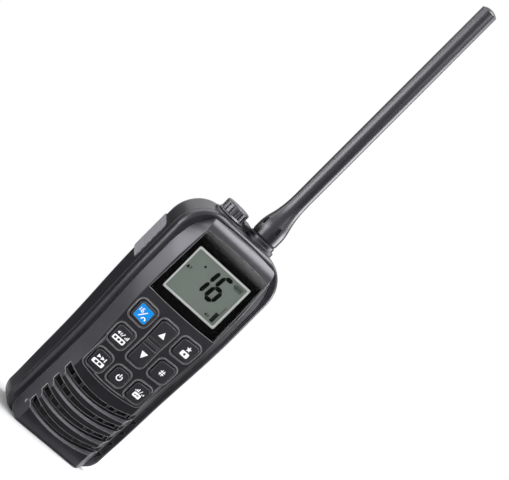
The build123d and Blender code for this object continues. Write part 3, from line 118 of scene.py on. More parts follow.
class RadioStageSettings(bpy.types.PropertyGroup):
    """Lights and background."""

    floor_color: FloatVectorProperty(
        name="Floor", description="Pale floor", subtype="COLOR", default=(0.78, 0.78, 0.79)
    )
    key_power: FloatProperty(
        name="Key light", description="Power of the soft light on the left, in watts", default=8.0
    )
    top_power: FloatProperty(
        name="Top light", description="Power of the overhead light, in watts", default=17.0
    )
    rim_power: FloatProperty(
        name="Rim light",
        description="Power of the narrow light behind on the left, in watts",
        default=2.2,
    )
    right_power: FloatProperty(
        name="Right light",
        description="Power of the soft light on the right, in watts",
        default=8.0,
    )
    front_glow: FloatProperty(
        name="Front glow", description="Brightness of the screen at the front", default=5.0
    )
    show_flags: BoolProperty(
        name="Flags", description="Dark cards that give the shells their contrast", default=True
    )


# ---------------------------------------------------------------- node helpers
# A Mix node repeats the names of its sockets for each kind of data, so the colour ones go by place
MIX_COLOR_INPUTS = (0, 6, 7)
MIX_COLOR_RESULT = 2


def new_group(name, inputs, outputs):
    """Empty shader node group with named sockets."""
    group = bpy.data.node_groups.new(name, "ShaderNodeTree")
    for label, kind, value in inputs:
        socket = group.interface.new_socket(name=label, in_out="INPUT", socket_type=kind)
        socket.default_value = value
    for label, kind in outputs:
        group.interface.new_socket(name=label, in_out="OUTPUT", socket_type=kind)
    return group, add(group, "NodeGroupInput"), add(group, "NodeGroupOutput")


def assign(node, values):
    """Sets a node's properties, and its inputs where it has no property of that name."""
    for key, value in values.items():
        if hasattr(node, key):
            setattr(node, key, value)
        else:
            node.inputs[key.replace("_", " ")].default_value = value
    return node


def add(tree, kind, **values):
    """New node with its properties and inputs set."""
    return assign(tree.nodes.new(kind if kind.startswith("Node") else "ShaderNode" + kind), values)


def wire(tree, source, target):
    """Links a socket to an input, or sets the input to a plain value."""
    if hasattr(source, "is_linked"):
        tree.links.new(source, target)
    else:
        target.default_value = source


def texture(tree, kind, **values):
    """Texture node that is laid out in the object's own space."""
    node = add(tree, "Tex" + kind, **values)
    wire(tree, add(tree, "TexCoord").outputs["Object"], node.inputs["Vector"])
    return node


def ramp(tree, factor, stops):
    """Colour ramp on a value, from (position, grey) stops."""
    node = add(tree, "ValToRGB")
    elements = node.color_ramp.elements
    while len(elements) < len(stops):
        elements.new(0.5)
    for element, (place, grey) in zip(elements, stops):
        element.position = place
        element.color = (grey, grey, grey, 1.0)
    wire(tree, factor, node.inputs["Fac"])
    return node.outputs["Color"]


def math_node(tree, operation, first, second):
    """Arithmetic on two values or sockets."""
    node = add(tree, "Math", operation=operation)
    for value, target in zip((first, second), node.inputs):
        wire(tree, value, target)
    return node.outputs["Value"]


def product(tree, first, *others):
    """Product of values and sockets."""
    for other in others:
        first = math_node(tree, "MULTIPLY", first, other)
    return first


def swing(tree, value, amount):
    """Value from 0 to 1 turned into one that swings about zero."""
    return product(tree, math_node(tree, "SUBTRACT", value, 0.5), amount)


def mix_colors(tree, factor, first, second, blend="MIX"):
    """Mix of two colours, each a socket or a value."""
    node = add(tree, "Mix", data_type="RGBA", blend_type=blend)
    for value, place in zip((factor, first, second), MIX_COLOR_INPUTS):
        wire(tree, value, node.inputs[place])
    return node.outputs[MIX_COLOR_RESULT]


def bump(tree, height, strength, distance):
    """Normal of a surface raised by a height, at most by a distance in metres."""
    node = add(tree, "Bump", Distance=distance)
    wire(tree, strength, node.inputs["Strength"])
    wire(tree, height, node.inputs["Height"])
    return node.outputs["Normal"]


def opaque(color):
    """Colour with full alpha."""
    return (*color, 1.0)


# ---------------------------------------------------------------- shared effects
# Ramps hold (position, grey) stops, and the other numbers are gains
FINE_GRAIN = 0.45
EDGE_GAIN = 6.0
GROOVE_SHADE = ((0.25, 0.12), (0.85, 1.0))
DUST_SPOTS = ((0.52, 0.0), (0.75, 1.0))
DUST_ON_WALLS = 0.08
BRUSHED_SPREAD = 0.3


def moulded_texture():
    """Fine moulded grain with a faint mottle in colour and gloss."""
    group, entry, out = new_group(
        "moulded_texture",
        [
            ("Color", "NodeSocketColor", (0.02, 0.02, 0.02, 1.0)),
            ("Grain Size", "NodeSocketFloat", 0.0002),
            ("Grain Depth", "NodeSocketFloat", 0.3),
            ("Mottle", "NodeSocketFloat", 0.15),
            ("Roughness", "NodeSocketFloat", 0.4),
        ],
        [
            ("Color", "NodeSocketColor"),
            ("Roughness", "NodeSocketFloat"),
            ("Normal", "NodeSocketVector"),
        ],
    )
    scale = math_node(group, "DIVIDE", 1.0, entry.outputs["Grain Size"])
    grain = texture(group, "Voronoi", feature="SMOOTH_F1", Smoothness=0.6)
    wire(group, scale, grain.inputs["Scale"])
    fine = texture(group, "Noise", Detail=2.0)
    wire(group, product(group, scale, FINE_GRAIN), fine.inputs["Scale"])
    height = math_node(group, "ADD", grain.outputs["Distance"], fine.outputs["Fac"])
    cloud = texture(group, "Noise", Scale=90.0, Detail=3.0, Roughness=0.6)
    shade = swing(group, cloud.outputs["Fac"], entry.outputs["Mottle"])
    lift = math_node(group, "ADD", shade, 1.0)
    tone = add(group, "CombineColor")
    for channel in ("Red", "Green", "Blue"):
        wire(group, lift, tone.inputs[channel])
    mottled = mix_colors(group, 1.0, entry.outputs["Color"], tone.outputs["Color"], "MULTIPLY")
    rough = math_node(group, "ADD", entry.outputs["Roughness"], shade)
    normal = bump(group, height, entry.outputs["Grain Depth"], 0.00005)
    wire(group, mottled, out.inputs["Color"])
    wire(group, rough, out.inputs["Roughness"])
    wire(group, normal, out.inputs["Normal"])


def edge_wear():
    """Mask of the edges that hands rub, which the materials lighten both as rubbed plastic and as a
    painted highlight, broken up by noise, and their rounded normal.
    """
    group, entry, out = new_group(
        "edge_wear",
        [("Radius", "NodeSocketFloat", 0.0004), ("Amount", "NodeSocketFloat", 0.5)],
        [("Mask", "NodeSocketFloat"), ("Soft Normal", "NodeSocketVector")],
    )
    soft = add(group, "Bevel", samples=6)
    wire(group, entry.outputs["Radius"], soft.inputs["Radius"])
    facing = add(group, "VectorMath", operation="DOT_PRODUCT")
    wire(group, soft.outputs["Normal"], facing.inputs[0])
    wire(group, add(group, "NewGeometry").outputs["Normal"], facing.inputs[1])
    turned = math_node(group, "SUBTRACT", 1.0, facing.outputs["Value"])
    noise = texture(group, "Noise", Scale=700.0, Detail=4.0).outputs["Fac"]
    mask = add(group, "Clamp")
    worn_and_highlit = product(group, turned, EDGE_GAIN, noise, entry.outputs["Amount"])
    wire(group, worn_and_highlit, mask.inputs["Value"])
    wire(group, mask.outputs["Result"], out.inputs["Mask"])
    wire(group, soft.outputs["Normal"], out.inputs["Soft Normal"])


def cavity_shade():
    """Shade in grooves, wells and slots: one on open surfaces, and less in deep ones."""
    group, entry, out = new_group(
        "cavity_shade", [("Reach", "NodeSocketFloat", 0.003)], [("Open", "NodeSocketFloat")]
    )
    open_sky = add(group, "AmbientOcclusion", samples=8)
    wire(group, entry.outputs["Reach"], open_sky.inputs["Distance"])
    wire(group, ramp(group, open_sky.outputs["AO"], GROOVE_SHADE), out.inputs["Open"])


def dust_film():
    """Mask of faint dust that settles on surfaces that face up."""
    group, entry, out = new_group(
        "dust_film", [("Amount", "NodeSocketFloat", 0.2)], [("Mask", "NodeSocketFloat")]
    )
    normal = add(group, "SeparateXYZ")
    wire(group, add(group, "NewGeometry").outputs["Normal"], normal.inputs["Vector"])
    specks = texture(group, "Noise", Scale=2600.0, Detail=5.0, Roughness=0.7)
    spotty = ramp(group, specks.outputs["Fac"], DUST_SPOTS)
    upward = math_node(group, "MAXIMUM", normal.outputs["Z"], DUST_ON_WALLS)
    wire(group, product(group, spotty, upward, entry.outputs["Amount"]), out.inputs["Mask"])


def brushed_grain():
    """Fine drawn lines of machined metal."""
    group, entry, out = new_group(
        "brushed_grain",
        [("Roughness", "NodeSocketFloat", 0.3), ("Strength", "NodeSocketFloat", 0.3)],
        [("Roughness", "NodeSocketFloat"), ("Normal", "NodeSocketVector")],
    )
    stretch = add(group, "Mapping", Scale=(9000.0, 9000.0, 500.0))
    wire(group, add(group, "TexCoord").outputs["Object"], stretch.inputs["Vector"])
    lines = add(group, "TexNoise", Scale=1.0, Detail=3.0)
    wire(group, stretch.outputs["Vector"], lines.inputs["Vector"])
    spread = swing(group, lines.outputs["Fac"], BRUSHED_SPREAD)
    rough = math_node(group, "ADD", entry.outputs["Roughness"], spread)
    normal = bump(group, lines.outputs["Fac"], entry.outputs["Strength"], 0.00003)
    wire(group, rough, out.inputs["Roughness"])
    wire(group, normal, out.inputs["Normal"])


def group_node(tree, name, **values):
    """Places a shared effect in a material."""
    return add(tree, "Group", node_tree=bpy.data.node_groups[name], **values)


# ---------------------------------------------------------------- materials
# Colours, and gains of the lightened edges (partly rubbed plastic, partly painted highlight), of
# the smoothing on rubbed edges and of the roughness in grooves
COOL_GLOSS = (0.93, 0.92, 1.0)
DUST_COLOR = (0.28, 0.27, 0.26)
DUST_ON_METAL = (0.2, 0.19, 0.18)
POLISH_AND_HIGHLIGHT_GAIN = 1.5
WORN_SMOOTHER = 0.12
GROOVE_ROUGHER = 0.5
SOLDER_MASK = (0.006, 0.075, 0.022)
COVERED_TRACKS = (0.012, 0.13, 0.04)
BARE_PADS = (0.6, 0.45, 0.2)

# Colour and roughness of each metal
METALS = {
    "speaker_steel": ((0.42, 0.42, 0.43), 0.35),
    "magnet": ((0.12, 0.12, 0.13), 0.5),
    "brass": ((0.72, 0.52, 0.26), 0.28),
    "jack_metal": ((0.55, 0.54, 0.52), 0.3),
    "steel": ((0.5, 0.5, 0.5), 0.32),
    "contacts": ((0.83, 0.62, 0.3), 0.25),
    "chassis_metal": ((0.62, 0.62, 0.63), 0.45),
    "insert_brass": ((0.66, 0.5, 0.26), 0.35),
}


def bare_material(name, **values):
    """Material with its Principled shader, whose named inputs are set."""
    material = bpy.data.materials.new(name)
    material.use_nodes = True
    tree = material.node_tree
    return material, tree, assign(tree.nodes["Principled BSDF"], values)


def show(tree, shader):
    """Makes a shader the surface of the material."""
    wire(tree, shader, tree.nodes["Material Output"].inputs["Surface"])


def show_mix(tree, factor, first, second):
    """Makes a mix of two shaders the surface of the material."""
    mixed = add(tree, "MixShader")
    for source, target in zip((factor, first.outputs[0], second.outputs[0]), mixed.inputs):
        wire(tree, source, target)
    show(tree, mixed.outputs[0])


def moulded(
    name,
    color,
    roughness=0.42,
    grain=0.3,
    mottle=0.16,
    wear_and_highlight=0.5,
    dust=0.1,
    radius=0.35,
    specular=0.35,
    polish_and_highlight=0.05,
    reach=3.0,
):
    """Moulded plastic or rubber with grain, a little dust, and rubbed edges that are lightened
    further by a painted highlight.

    The radius of the edges and the reach of the shade in grooves are in millimetres.
    """
    material, tree, shader = bare_material(
        name, Specular_IOR_Level=specular, Specular_Tint=opaque(COOL_GLOSS)
    )
    base = group_node(
        tree,
        "moulded_texture",
        Color=opaque(color),
        Grain_Size=bpy.context.scene.radio_finish.grain_size,
        Grain_Depth=grain,
        Mottle=mottle,
        Roughness=roughness,
    )
    edges = group_node(tree, "edge_wear", Radius=radius * MM, Amount=wear_and_highlight)
    film = group_node(tree, "dust_film", Amount=dust)
    cavity = group_node(tree, "cavity_shade", Reach=reach * MM)
    # Painted highlight: the edge mask lightens the base colour well beyond rubbed plastic, standing
    # in for the light that the edges catch.
    polish_and_highlight_color = [min(1.0, polish_and_highlight + channel * POLISH_AND_HIGHLIGHT_GAIN) for channel in color]
    worn_and_highlit = mix_colors(tree, edges.outputs["Mask"], base.outputs["Color"], opaque(polish_and_highlight_color))
    dusty = mix_colors(tree, film.outputs["Mask"], worn_and_highlit, opaque(DUST_COLOR))
    shaded = mix_colors(tree, 1.0, dusty, cavity.outputs["Open"], "MULTIPLY")
    rubbed = product(tree, edges.outputs["Mask"], WORN_SMOOTHER)
    smooth = math_node(tree, "SUBTRACT", base.outputs["Roughness"], rubbed)
    closed = math_node(tree, "SUBTRACT", 1.0, cavity.outputs["Open"])
    rough = math_node(tree, "ADD", smooth, product(tree, closed, GROOVE_ROUGHER))
    both = add(tree, "VectorMath", operation="ADD")
    wire(tree, base.outputs["Normal"], both.inputs[0])
    wire(tree, edges.outputs["Soft Normal"], both.inputs[1])
    normal = add(tree, "VectorMath", operation="NORMALIZE")
    wire(tree, both.outputs["Vector"], normal.inputs[0])
    wire(tree, shaded, shader.inputs["Base Color"])
    wire(tree, rough, shader.inputs["Roughness"])
    wire(tree, normal.outputs["Vector"], shader.inputs["Normal"])
    return material


def metal(name):
    """Machined or drawn metal."""
    color, roughness = METALS[name]
    material, tree, shader = bare_material(name, Metallic=1.0)
    grain = group_node(tree, "brushed_grain", Roughness=roughness, Strength=0.3)
    film = group_node(tree, "dust_film", Amount=0.08)
    dusty = mix_colors(tree, film.outputs["Mask"], opaque(color), opaque(DUST_ON_METAL))
    wire(tree, dusty, shader.inputs["Base Color"])
    wire(tree, grain.outputs["Roughness"], shader.inputs["Roughness"])
    wire(tree, grain.outputs["Normal"], shader.inputs["Normal"])
    return material


def window_glass():
    """Clear hard-coated window, which casts no shadow and lets diffuse light straight through."""
    material, tree, shader = bare_material(
        "window_glass",
        Base_Color=(1.0, 1.0, 1.0, 1.0),
        Roughness=0.03,
        Transmission_Weight=1.0,
        IOR=1.45,
    )
    path = add(tree, "LightPath").outputs
    clear = math_node(tree, "MAXIMUM", path["Is Shadow Ray"], path["Is Diffuse Ray"])
    show_mix(tree, clear, shader, add(tree, "BsdfTransparent"))
    return material


def display_background():
    """Reflective display film with a faint sparkle."""
    glass = bpy.context.scene.radio_display.glass_color
    material, tree, shader = bare_material("display_film", Roughness=0.6, Specular_IOR_Level=0.0)
    sparkle = texture(tree, "Noise", Scale=16000.0, Detail=1.0)
    lift = ramp(tree, sparkle.outputs["Fac"], [(0.3, 0.93), (0.7, 1.0)])
    film = mix_colors(tree, 1.0, opaque(glass), lift, "MULTIPLY")
    wire(tree, film, shader.inputs["Base Color"])
    return material


def printed(name, color, roughness=0.5, specular=0.3):
    """Ink with slightly uneven coverage."""
    material, tree, shader = bare_material(
        name, Roughness=roughness, Specular_IOR_Level=specular
    )
    noise = texture(tree, "Noise", Scale=5000.0, Detail=3.0)
    cover = ramp(tree, noise.outputs["Fac"], [(0.25, 0.88), (0.6, 1.0)])
    ink = mix_colors(tree, 1.0, opaque(color), cover, "MULTIPLY")
    wire(tree, ink, shader.inputs["Base Color"])
    return material


def woven_cloth():
    """Waterproof cloth behind the grille."""
    material, tree, shader = bare_material("speaker_cloth", Roughness=0.9)
    threads = [
        texture(tree, "Wave", wave_type="BANDS", bands_direction=way, Scale=1600.0, Distortion=0.5)
        for way in ("X", "Z")
    ]
    weave = product(tree, *(node.outputs["Fac"] for node in threads))
    wire(tree, ramp(tree, weave, [(0.0, 0.004), (1.0, 0.02)]), shader.inputs["Base Color"])
    wire(tree, bump(tree, weave, 0.5, 0.0001), shader.inputs["Normal"])
    return material


def circuit_board():
    """Green solder mask with copper tracks and small pads."""
    material, tree, shader = bare_material("circuit_board", Roughness=0.35)
    tracks = texture(tree, "Brick", Scale=260.0, Mortar_Size=0.06, Mortar_Smooth=0.2)
    pads = texture(tree, "Voronoi", Scale=420.0)
    dots = ramp(tree, pads.outputs["Distance"], [(0.16, 1.0), (0.2, 0.0)])
    board = mix_colors(tree, tracks.outputs["Fac"], opaque(SOLDER_MASK), opaque(COVERED_TRACKS))
    wire(tree, mix_colors(tree, dots, board, opaque(BARE_PADS)), shader.inputs["Base Color"])
    return material


def finish_nodes(finishes):
    """Gives each CAD node its material."""
    for name, material in finishes.items():
        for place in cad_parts[name].material_slots:
            place.material = material


# ---------------------------------------------------------------- flat shapes that lie on a face
class Surface:
    """Front face of a CAD node, found by looking along +Y."""

    def __init__(self, node):
        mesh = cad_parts[node].data
        vertices = [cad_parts[node].matrix_world @ v.co for v in mesh.vertices]
        self.tree = BVHTree.FromPolygons(vertices, [list(p.vertices) for p in mesh.polygons])

    def depth(self, x, z):
        """Y of the face at X and Z."""
        hit = self.tree.ray_cast(Vector((x, -1.0, z)), Vector((0.0, 1.0, 0.0)))
        if hit[0] is None:
            raise ValueError(f"nothing to print on at {x:.4f}, {z:.4f}")
        return hit[0].y


# Least share of a corner's width that its mitre is worked out from, so that it stays short
MITRE_LIMIT = 0.35


def strip(points, width, closed=False):
    """Outline quads of a line of the given width, mitred at its corners."""
    path = [Vector(p) for p in points]
    count = len(path)
    left, right = [], []
    for k, point in enumerate(path):
        ways = []
        if k or closed:
            ways.append((point - path[k - 1]).normalized())
        if k < count - 1 or closed:
            ways.append((path[(k + 1) % count] - point).normalized())
        along = sum(ways, Vector((0.0, 0.0))).normalized()
        across = Vector((-along.y, along.x))
        flat = Vector((-ways[0].y, ways[0].x))
        reach = width / 2 / max(across.dot(flat), MITRE_LIMIT)
        left.append(point + across * reach)
        right.append(point - across * reach)
    spans = range(count if closed else count - 1)
    return [(right[k], right[(k + 1) % count], left[(k + 1) % count], left[k]) for k in spans]


def polar(x, z, radius, angle):
    """Point at a distance from a centre, at an angle in degrees."""
    turn = math.radians(angle)
    return x + radius * math.cos(turn), z + radius * math.sin(turn)


def arc(x, z, radius, start, end, steps=16):
    """Points along an arc, in degrees."""
    return [polar(x, z, radius, start + (end - start) * k / steps) for k in range(steps + 1)]


def disc(x, z, radius):
    """Filled circle."""
    return [tuple(arc(x, z, radius, 0, 360)[:-1])]


def box(x0, z0, x1, z1):
    """Corners of a rectangle between two opposite ones."""
    return (x0, z0), (x1, z0), (x1, z1), (x0, z1)


def rounded_box(x, z, width, height, corner, steps=5):
    """Filled rectangle with round corners."""
    points = []
    for quarter, (sx, sz) in enumerate(((1, 1), (-1, 1), (-1, -1), (1, -1))):
        cx, cz = x + sx * (width / 2 - corner), z + sz * (height / 2 - corner)
        points += arc(cx, cz, corner, 90 * quarter, 90 * (quarter + 1), steps)
    return [tuple(points)]


# How far the back of a printed piece lies under the face, in millimetres
PRINT_SINK = 0.02


def print_piece(name, shapes, surface, body, material, lift):
    """Closed thin piece from flat shapes in X and Z, laid on a face; sizes are in millimetres."""
    mesh = bmesh.new()
    for shape in shapes:
        ring = [(p[0] * MM, p[1] * MM) for p in shape]
        front = [mesh.verts.new((x, surface.depth(x, z) - lift * MM, z)) for x, z in ring]
        back = [mesh.verts.new((x, surface.depth(x, z) + PRINT_SINK * MM, z)) for x, z in ring]
        mesh.faces.new(front)
        mesh.faces.new(list(reversed(back)))
        for k in range(len(ring)):
            n = (k + 1) % len(ring)
            mesh.faces.new((front[n], front[k], back[k], back[n]))
    bmesh.ops.remove_doubles(mesh, verts=mesh.verts, dist=1e-7)
    bmesh.ops.recalc_face_normals(mesh, faces=mesh.faces)
    data = bpy.data.meshes.new(name)
    mesh.to_mesh(data)
    mesh.free()
    piece = bpy.data.objects.new(name, data)
    bpy.context.scene.collection.objects.link(piece)
    data.materials.append(material)
    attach(piece, body)


# ---------------------------------------------------------------- signs, in millimetres in X and Z
def handset(x, z, size):
    """Telephone handset, the sign for a call."""
    shapes = strip(arc(x, z - size * 0.35, size, 25, 155), size * 0.42)
    for side in (-1, 1):
        end = (x + side * size * 0.86, z - size * 0.1)
        shapes += rounded_box(*end, size * 0.62, size * 0.7, size * 0.2)
    return shapes


def star(x, z, size):
    """Five-pointed star as five kites."""
    tips = [polar(x, z, size, 90 + 72 * k) for k in range(5)]
    dips = [polar(x, z, size * 0.42, 126 + 72 * k) for k in range(5)]
    return [((x, z), dips[k - 1], tips[k], dips[k]) for k in range(5)]


def speaker_sign(x, z, size):
    """Loudspeaker with two sound waves."""
    horn = (
        (x - size, z - size * 0.4),
        (x - size * 0.45, z - size * 0.4),
        (x + size * 0.2, z - size),
        (x + size * 0.2, z + size),
        (x - size * 0.45, z + size * 0.4),
        (x - size, z + size * 0.4),
    )
    shapes = [horn]
    for radius in (0.7, 1.2):
        shapes += strip(arc(x + size * 0.2, z, size * radius, -42, 42, 8), size * 0.28)
    return shapes


# Width of a bar as a share of the step from one bar to the next
BAR_SHARE = 0.62


def signal_bars(x, z, width, height, count):
    """Rising bars."""
    pitch = width / count
    return [
        box(x + pitch * k, z, x + pitch * (k + BAR_SHARE), z + height * (k + 1) / count)
        for k in range(count)
    ]


def number_sign(x, z, size):
    """Number sign for the channel key."""
    lean, line = size * 0.12, size * 0.24
    shapes = []
    for side in (-1, 1):
        offset = side * size * 0.36
        shapes += strip([(x + offset - lean, z - size), (x + offset + lean, z + size)], line)
        shapes += strip([(x - size * 0.9, z + offset), (x + size * 0.9, z + offset)], line)
    return shapes


def key_sign(x, z, size):
    """Door key, the sign for the key lock."""
    line = size * 0.34
    ring = strip(arc(x + size * 0.95, z, size * 0.45, 0, 337.5, 15), line, closed=True)
    stem = strip([(x - size * 1.5, z), (x + size * 0.5, z)], line)
    teeth = [
        box(x - size * (1.4 - 0.55 * k), z - size * 0.62, x - size * (1.1 - 0.55 * k), z)
        for k in range(2)
    ]
    return ring + stem + teeth


def triangle(x, z, width, height):
    """Triangle that points up, or down with a negative height."""
    foot = z - height / 2
    return [((x - width / 2, foot), (x + width / 2, foot), (x, z + height / 2))]


def battery_sign(x, z, width, height, line, bars):
    """Battery outline with charge bars and its pole on the left."""
    half_w, half_h = width / 2, height / 2
    inset, pole = 0.45, 0.6
    shapes = strip(box(x - half_w, z - half_h, x + half_w, z + half_h), line, closed=True)
    pitch = width / (bars + 0.35)
    for k in range(bars):
        middle = x - half_w + pitch * (k + 0.68)
        ends = [(middle, z - half_h + inset), (middle, z + half_h - inset)]
        shapes += strip(ends, pitch * BAR_SHARE)
    tip = x - half_w - pole
    return shapes + strip([(tip, z - 0.5), (tip, z + 0.5)], pole)


SEVEN_SEGMENTS = {"1": "bc", "6": "acdefg"}


def digit(text, x, z, width, height, thick, slant, gap):
    """Seven-segment digit; x and z are the foot of its left centre line."""
    half = height / 2
    ends = {
        "a": ((0, height), (width, height)),
        "b": ((width, half), (width, height)),
        "c": ((width, 0), (width, half)),
        "d": ((0, 0), (width, 0)),
        "e": ((0, 0), (0, half)),
        "f": ((0, half), (0, height)),
        "g": ((0, half), (width, half)),
    }
    shapes = []
    for name in SEVEN_SEGMENTS[text]:
        first, last = (Vector(end) for end in ends[name])
        along = (last - first).normalized()
        across = Vector((-along.y, along.x)) * thick / 2
        start, end = first + along * gap, last - along * gap
        inward = along * thick / 2
        lower = [start, start + inward - across, end - inward - across]
        upper = [end, end - inward + across, start + inward + across]
        shapes.append(tuple((x + p.x + slant * p.y, z + p.y) for p in lower + upper))
    return shapes


def sixteen(one_x, six_x, z, **form):
    """Number 16, the distress and calling channel."""
    return digit("1", one_x, z, **form) + digit("6", six_x, z, **form)


# White print on the keys: the node that it lies on, the body that it rides on, and its shapes
LEGENDS = {
    "calling_legend": (
        "key_calling_face",
        "calling_key",
        sixteen(-18.6, -16.4, 81.4, width=1.1, height=2.0, thick=0.42, slant=0.0, gap=0.02)
        + strip([(-16.1, 79.1), (-13.1, 82.9)], 0.5)
        + handset(-12.7, 79.2, 1.15),
    ),
    "rocker_up_sign": ("key_rocker", "rocker_key", triangle(0.45, 79.7, 3.7, 3.3)),
    "rocker_down_sign": ("key_rocker", "rocker_key", triangle(0.45, 65.8, 3.9, -3.5)),
    "favourite_sign": ("key_favourite", "favourite_key", star(15.2, 82.75, 1.55)),
    "favourite_plate": (
        "key_favourite",
        "favourite_key",
        rounded_box(15.15, 79.6, 4.7, 2.7, 0.6),
    ),
    "volume_sign": (
        "key_volume",
        "volume_key",
        speaker_sign(-16.2, 66.95, 1.0)
        + strip([(-14.4, 66.0), (-13.2, 67.9)], 0.4)
        + signal_bars(-12.4, 66.0, 2.3, 1.9, 3),
    ),
    "volume_plate": ("key_volume", "volume_key", rounded_box(-14.05, 63.95, 7.3, 2.5, 0.6)),
    "channel_sign": ("key_channel", "channel_key", number_sign(14.1, 65.4, 1.6)),
    "scan_sign": (
        "key_scan",
        "scan_key",
        [((x, 50.7), (x + 2.0, 51.7), (x, 52.7)) for x in (-15.6, -13.3)]
        + strip([(-10.8, 50.7), (-10.8, 52.7)], 0.5),
    ),
    "scan_plate": ("key_scan", "scan_key", rounded_box(-12.95, 48.75, 6.9, 2.4, 0.6)),
    "output_sign": (
        "key_output",
        "output_key",
        signal_bars(10.6, 50.5, 2.4, 1.9, 3)
        + strip([(13.3, 50.4), (14.3, 52.3)], 0.36)
        + signal_bars(14.8, 50.5, 1.7, 0.9, 2),
    ),
    "output_plate": ("key_output", "output_key", rounded_box(13.25, 48.85, 4.4, 2.5, 0.6)),
    "power_sign": (
        "key_power",
        "power_key",
        strip(arc(0.3, 50.0, 1.45, 125, 415, 20), 0.55) + strip([(0.3, 50.2), (0.3, 52.1)], 0.55),
    ),
}

# Dark print on the white plates, listed in the same way
PLATE_MARKS = {
    "favourite_mark": ("key_favourite", "favourite_key", disc(15.15, 79.6, 0.68)),
    "volume_mark": (
        "key_volume",
        "volume_key",
        [rounded_box(-16.2 + 2.15 * k, 63.95, 1.4, 1.25, 0.3)[0] for k in range(3)],
    ),
    "scan_mark": (
        "key_scan",
        "scan_key",
        rounded_box(-14.1, 48.75, 1.7, 1.3, 0.3) + rounded_box(-11.8, 48.75, 1.7, 1.3, 0.3),
    ),
    "output_mark": ("key_output", "output_key", key_sign(13.1, 48.95, 0.85)),
}

# How far each print stands out from its face, in millimetres
LEGEND_LIFT = 0.03
MARK_LIFT = 0.05
SEGMENT_LIFT = 0.04


def display_shapes():
    """Everything that the display shows."""
    settings = bpy.context.scene.radio_display
    channel = sixteen(
        -6.27,
        2.14,
        106.8,
        width=4.77,
        height=13.5,
        thick=settings.segment_width / MM,
        slant=settings.digit_slant,
        gap=0.12,
    )
    volume = [box(12.5, 99.5 + 1.06 * k, 14.75, 100.46 + 1.06 * k) for k in range(5)]
    return [
        *channel,
        *disc(-7.9, 117.5, 0.62),
        *battery_sign(12.45, 119.95, 4.3, 2.3, 0.26, 3),
        *strip([(14.73, 104.4), (14.73, 109.4)], 0.3),
        *volume,
        *speaker_sign(9.6, 100.7, 1.0),
        *triangle(-14.6, 112.6, 1.9, 1.9),
        *strip([(-13.0, 111.7), (-13.0, 113.5)], 0.4),
    ]


# ---------------------------------------------------------------- operators
KEY_NODES = (
    "key_calling",
    "key_volume",
    "key_scan",
    "key_favourite",
    "key_channel",
    "key_output",
    "key_power",
    "key_rocker",
)
SEAL_NODES = ("antenna_seal", "case_seal", "jack_cap_seal", "microphone_boot", "speaker_gasket")


class RADIO_OT_shells(bpy.types.Operator):
    """Textured finish of the shells and the battery pack"""

    bl_idname = "radio.shells"
    bl_label = "Shells"

    def execute(self, context):
        finish = context.scene.radio_finish
        case = moulded(
            "case_plastic",
            finish.case_color,
            roughness=0.34,
            grain=0.15,
            wear_and_highlight=0.7,
            specular=0.5,
            radius=0.8,
            polish_and_highlight=0.12,
        )
        front = moulded(
            "front_plastic",
            finish.front_color,
            roughness=0.34,
            grain=0.12,
            wear_and_highlight=1.5,
            specular=0.5,
            radius=0.6,
            polish_and_highlight=0.3,
        )
        finish_nodes({name: case for name in ("rear_case", "battery_cover", "battery_tray")})
        finish_nodes({name: front for name in ("front_case", "battery_latch")})
        return {"FINISHED"}


class RADIO_OT_keys(bpy.types.Operator):
    """Rubber keys with their printed legends"""

    bl_idname = "radio.keys"
    bl_label = "Keys"

    def execute(self, context):
        finish = context.scene.radio_finish
        rubber = moulded(
            "key_rubber",
            finish.key_color,
            roughness=0.36,
            grain=0.1,
            wear_and_highlight=1.0,
            specular=0.4,
            radius=0.45,
            polish_and_highlight=0.22,
        )
        blue = moulded(
            "key_blue",
            finish.call_color,
            grain=0.06,
            wear_and_highlight=0.2,
            mottle=0.06,
            dust=0.0,
            radius=0.2,
            specular=0.1,
            polish_and_highlight=0.0,
        )
        mat = moulded("mat_rubber", (0.09, 0.09, 0.1), roughness=0.6, grain=0.1)
        finish_nodes({name: rubber for name in KEY_NODES})
        finish_nodes({"key_calling_face": blue, "keypad_mat": mat})
        white = printed("legend_white", finish.legend_color)
        dark = printed("legend_dark", (0.03, 0.03, 0.034))
        surfaces = {}
        for table, ink, lift in ((LEGENDS, white, LEGEND_LIFT), (PLATE_MARKS, dark, MARK_LIFT)):
            for name, (node, body, shapes) in table.items():
                surface = surfaces.setdefault(node, Surface(node))
                print_piece(name, shapes, surface, body, ink, lift)
        return {"FINISHED"}


class RADIO_OT_window(bpy.types.Operator):
    """Clear window with its printed black border"""

    bl_idname = "radio.window"
    bl_label = "Window"

    def execute(self, context):
        ink = printed("window_ink", (0.003, 0.003, 0.003), roughness=0.6, specular=0.0)
        finish_nodes({"display_window": window_glass(), "window_mask": ink})
        return {"FINISHED"}


class RADIO_OT_display(bpy.types.Operator):
    """Display film, its white frame and the dark segments"""

    bl_idname = "radio.display"
    bl_label = "Display"

    def execute(self, context):
        settings = context.scene.radio_display
        white = printed("display_frame", (0.50, 0.51, 0.50))
        guide = moulded(
            "light_guide", (0.75, 0.8, 0.78), roughness=0.25, grain=0.02, wear_and_highlight=0.0, dust=0.0
        )
        film = display_background()
        finish_nodes({"lcd_frame": white, "lcd_panel": film, "backlight_guide": guide})
        ink = printed("display_ink", settings.ink_color, roughness=0.6, specular=0.0)
        shapes, panel = display_shapes(), Surface("lcd_panel")
        print_piece("display_segments", shapes, panel, "root", ink, SEGMENT_LIFT)
        return {"FINISHED"}


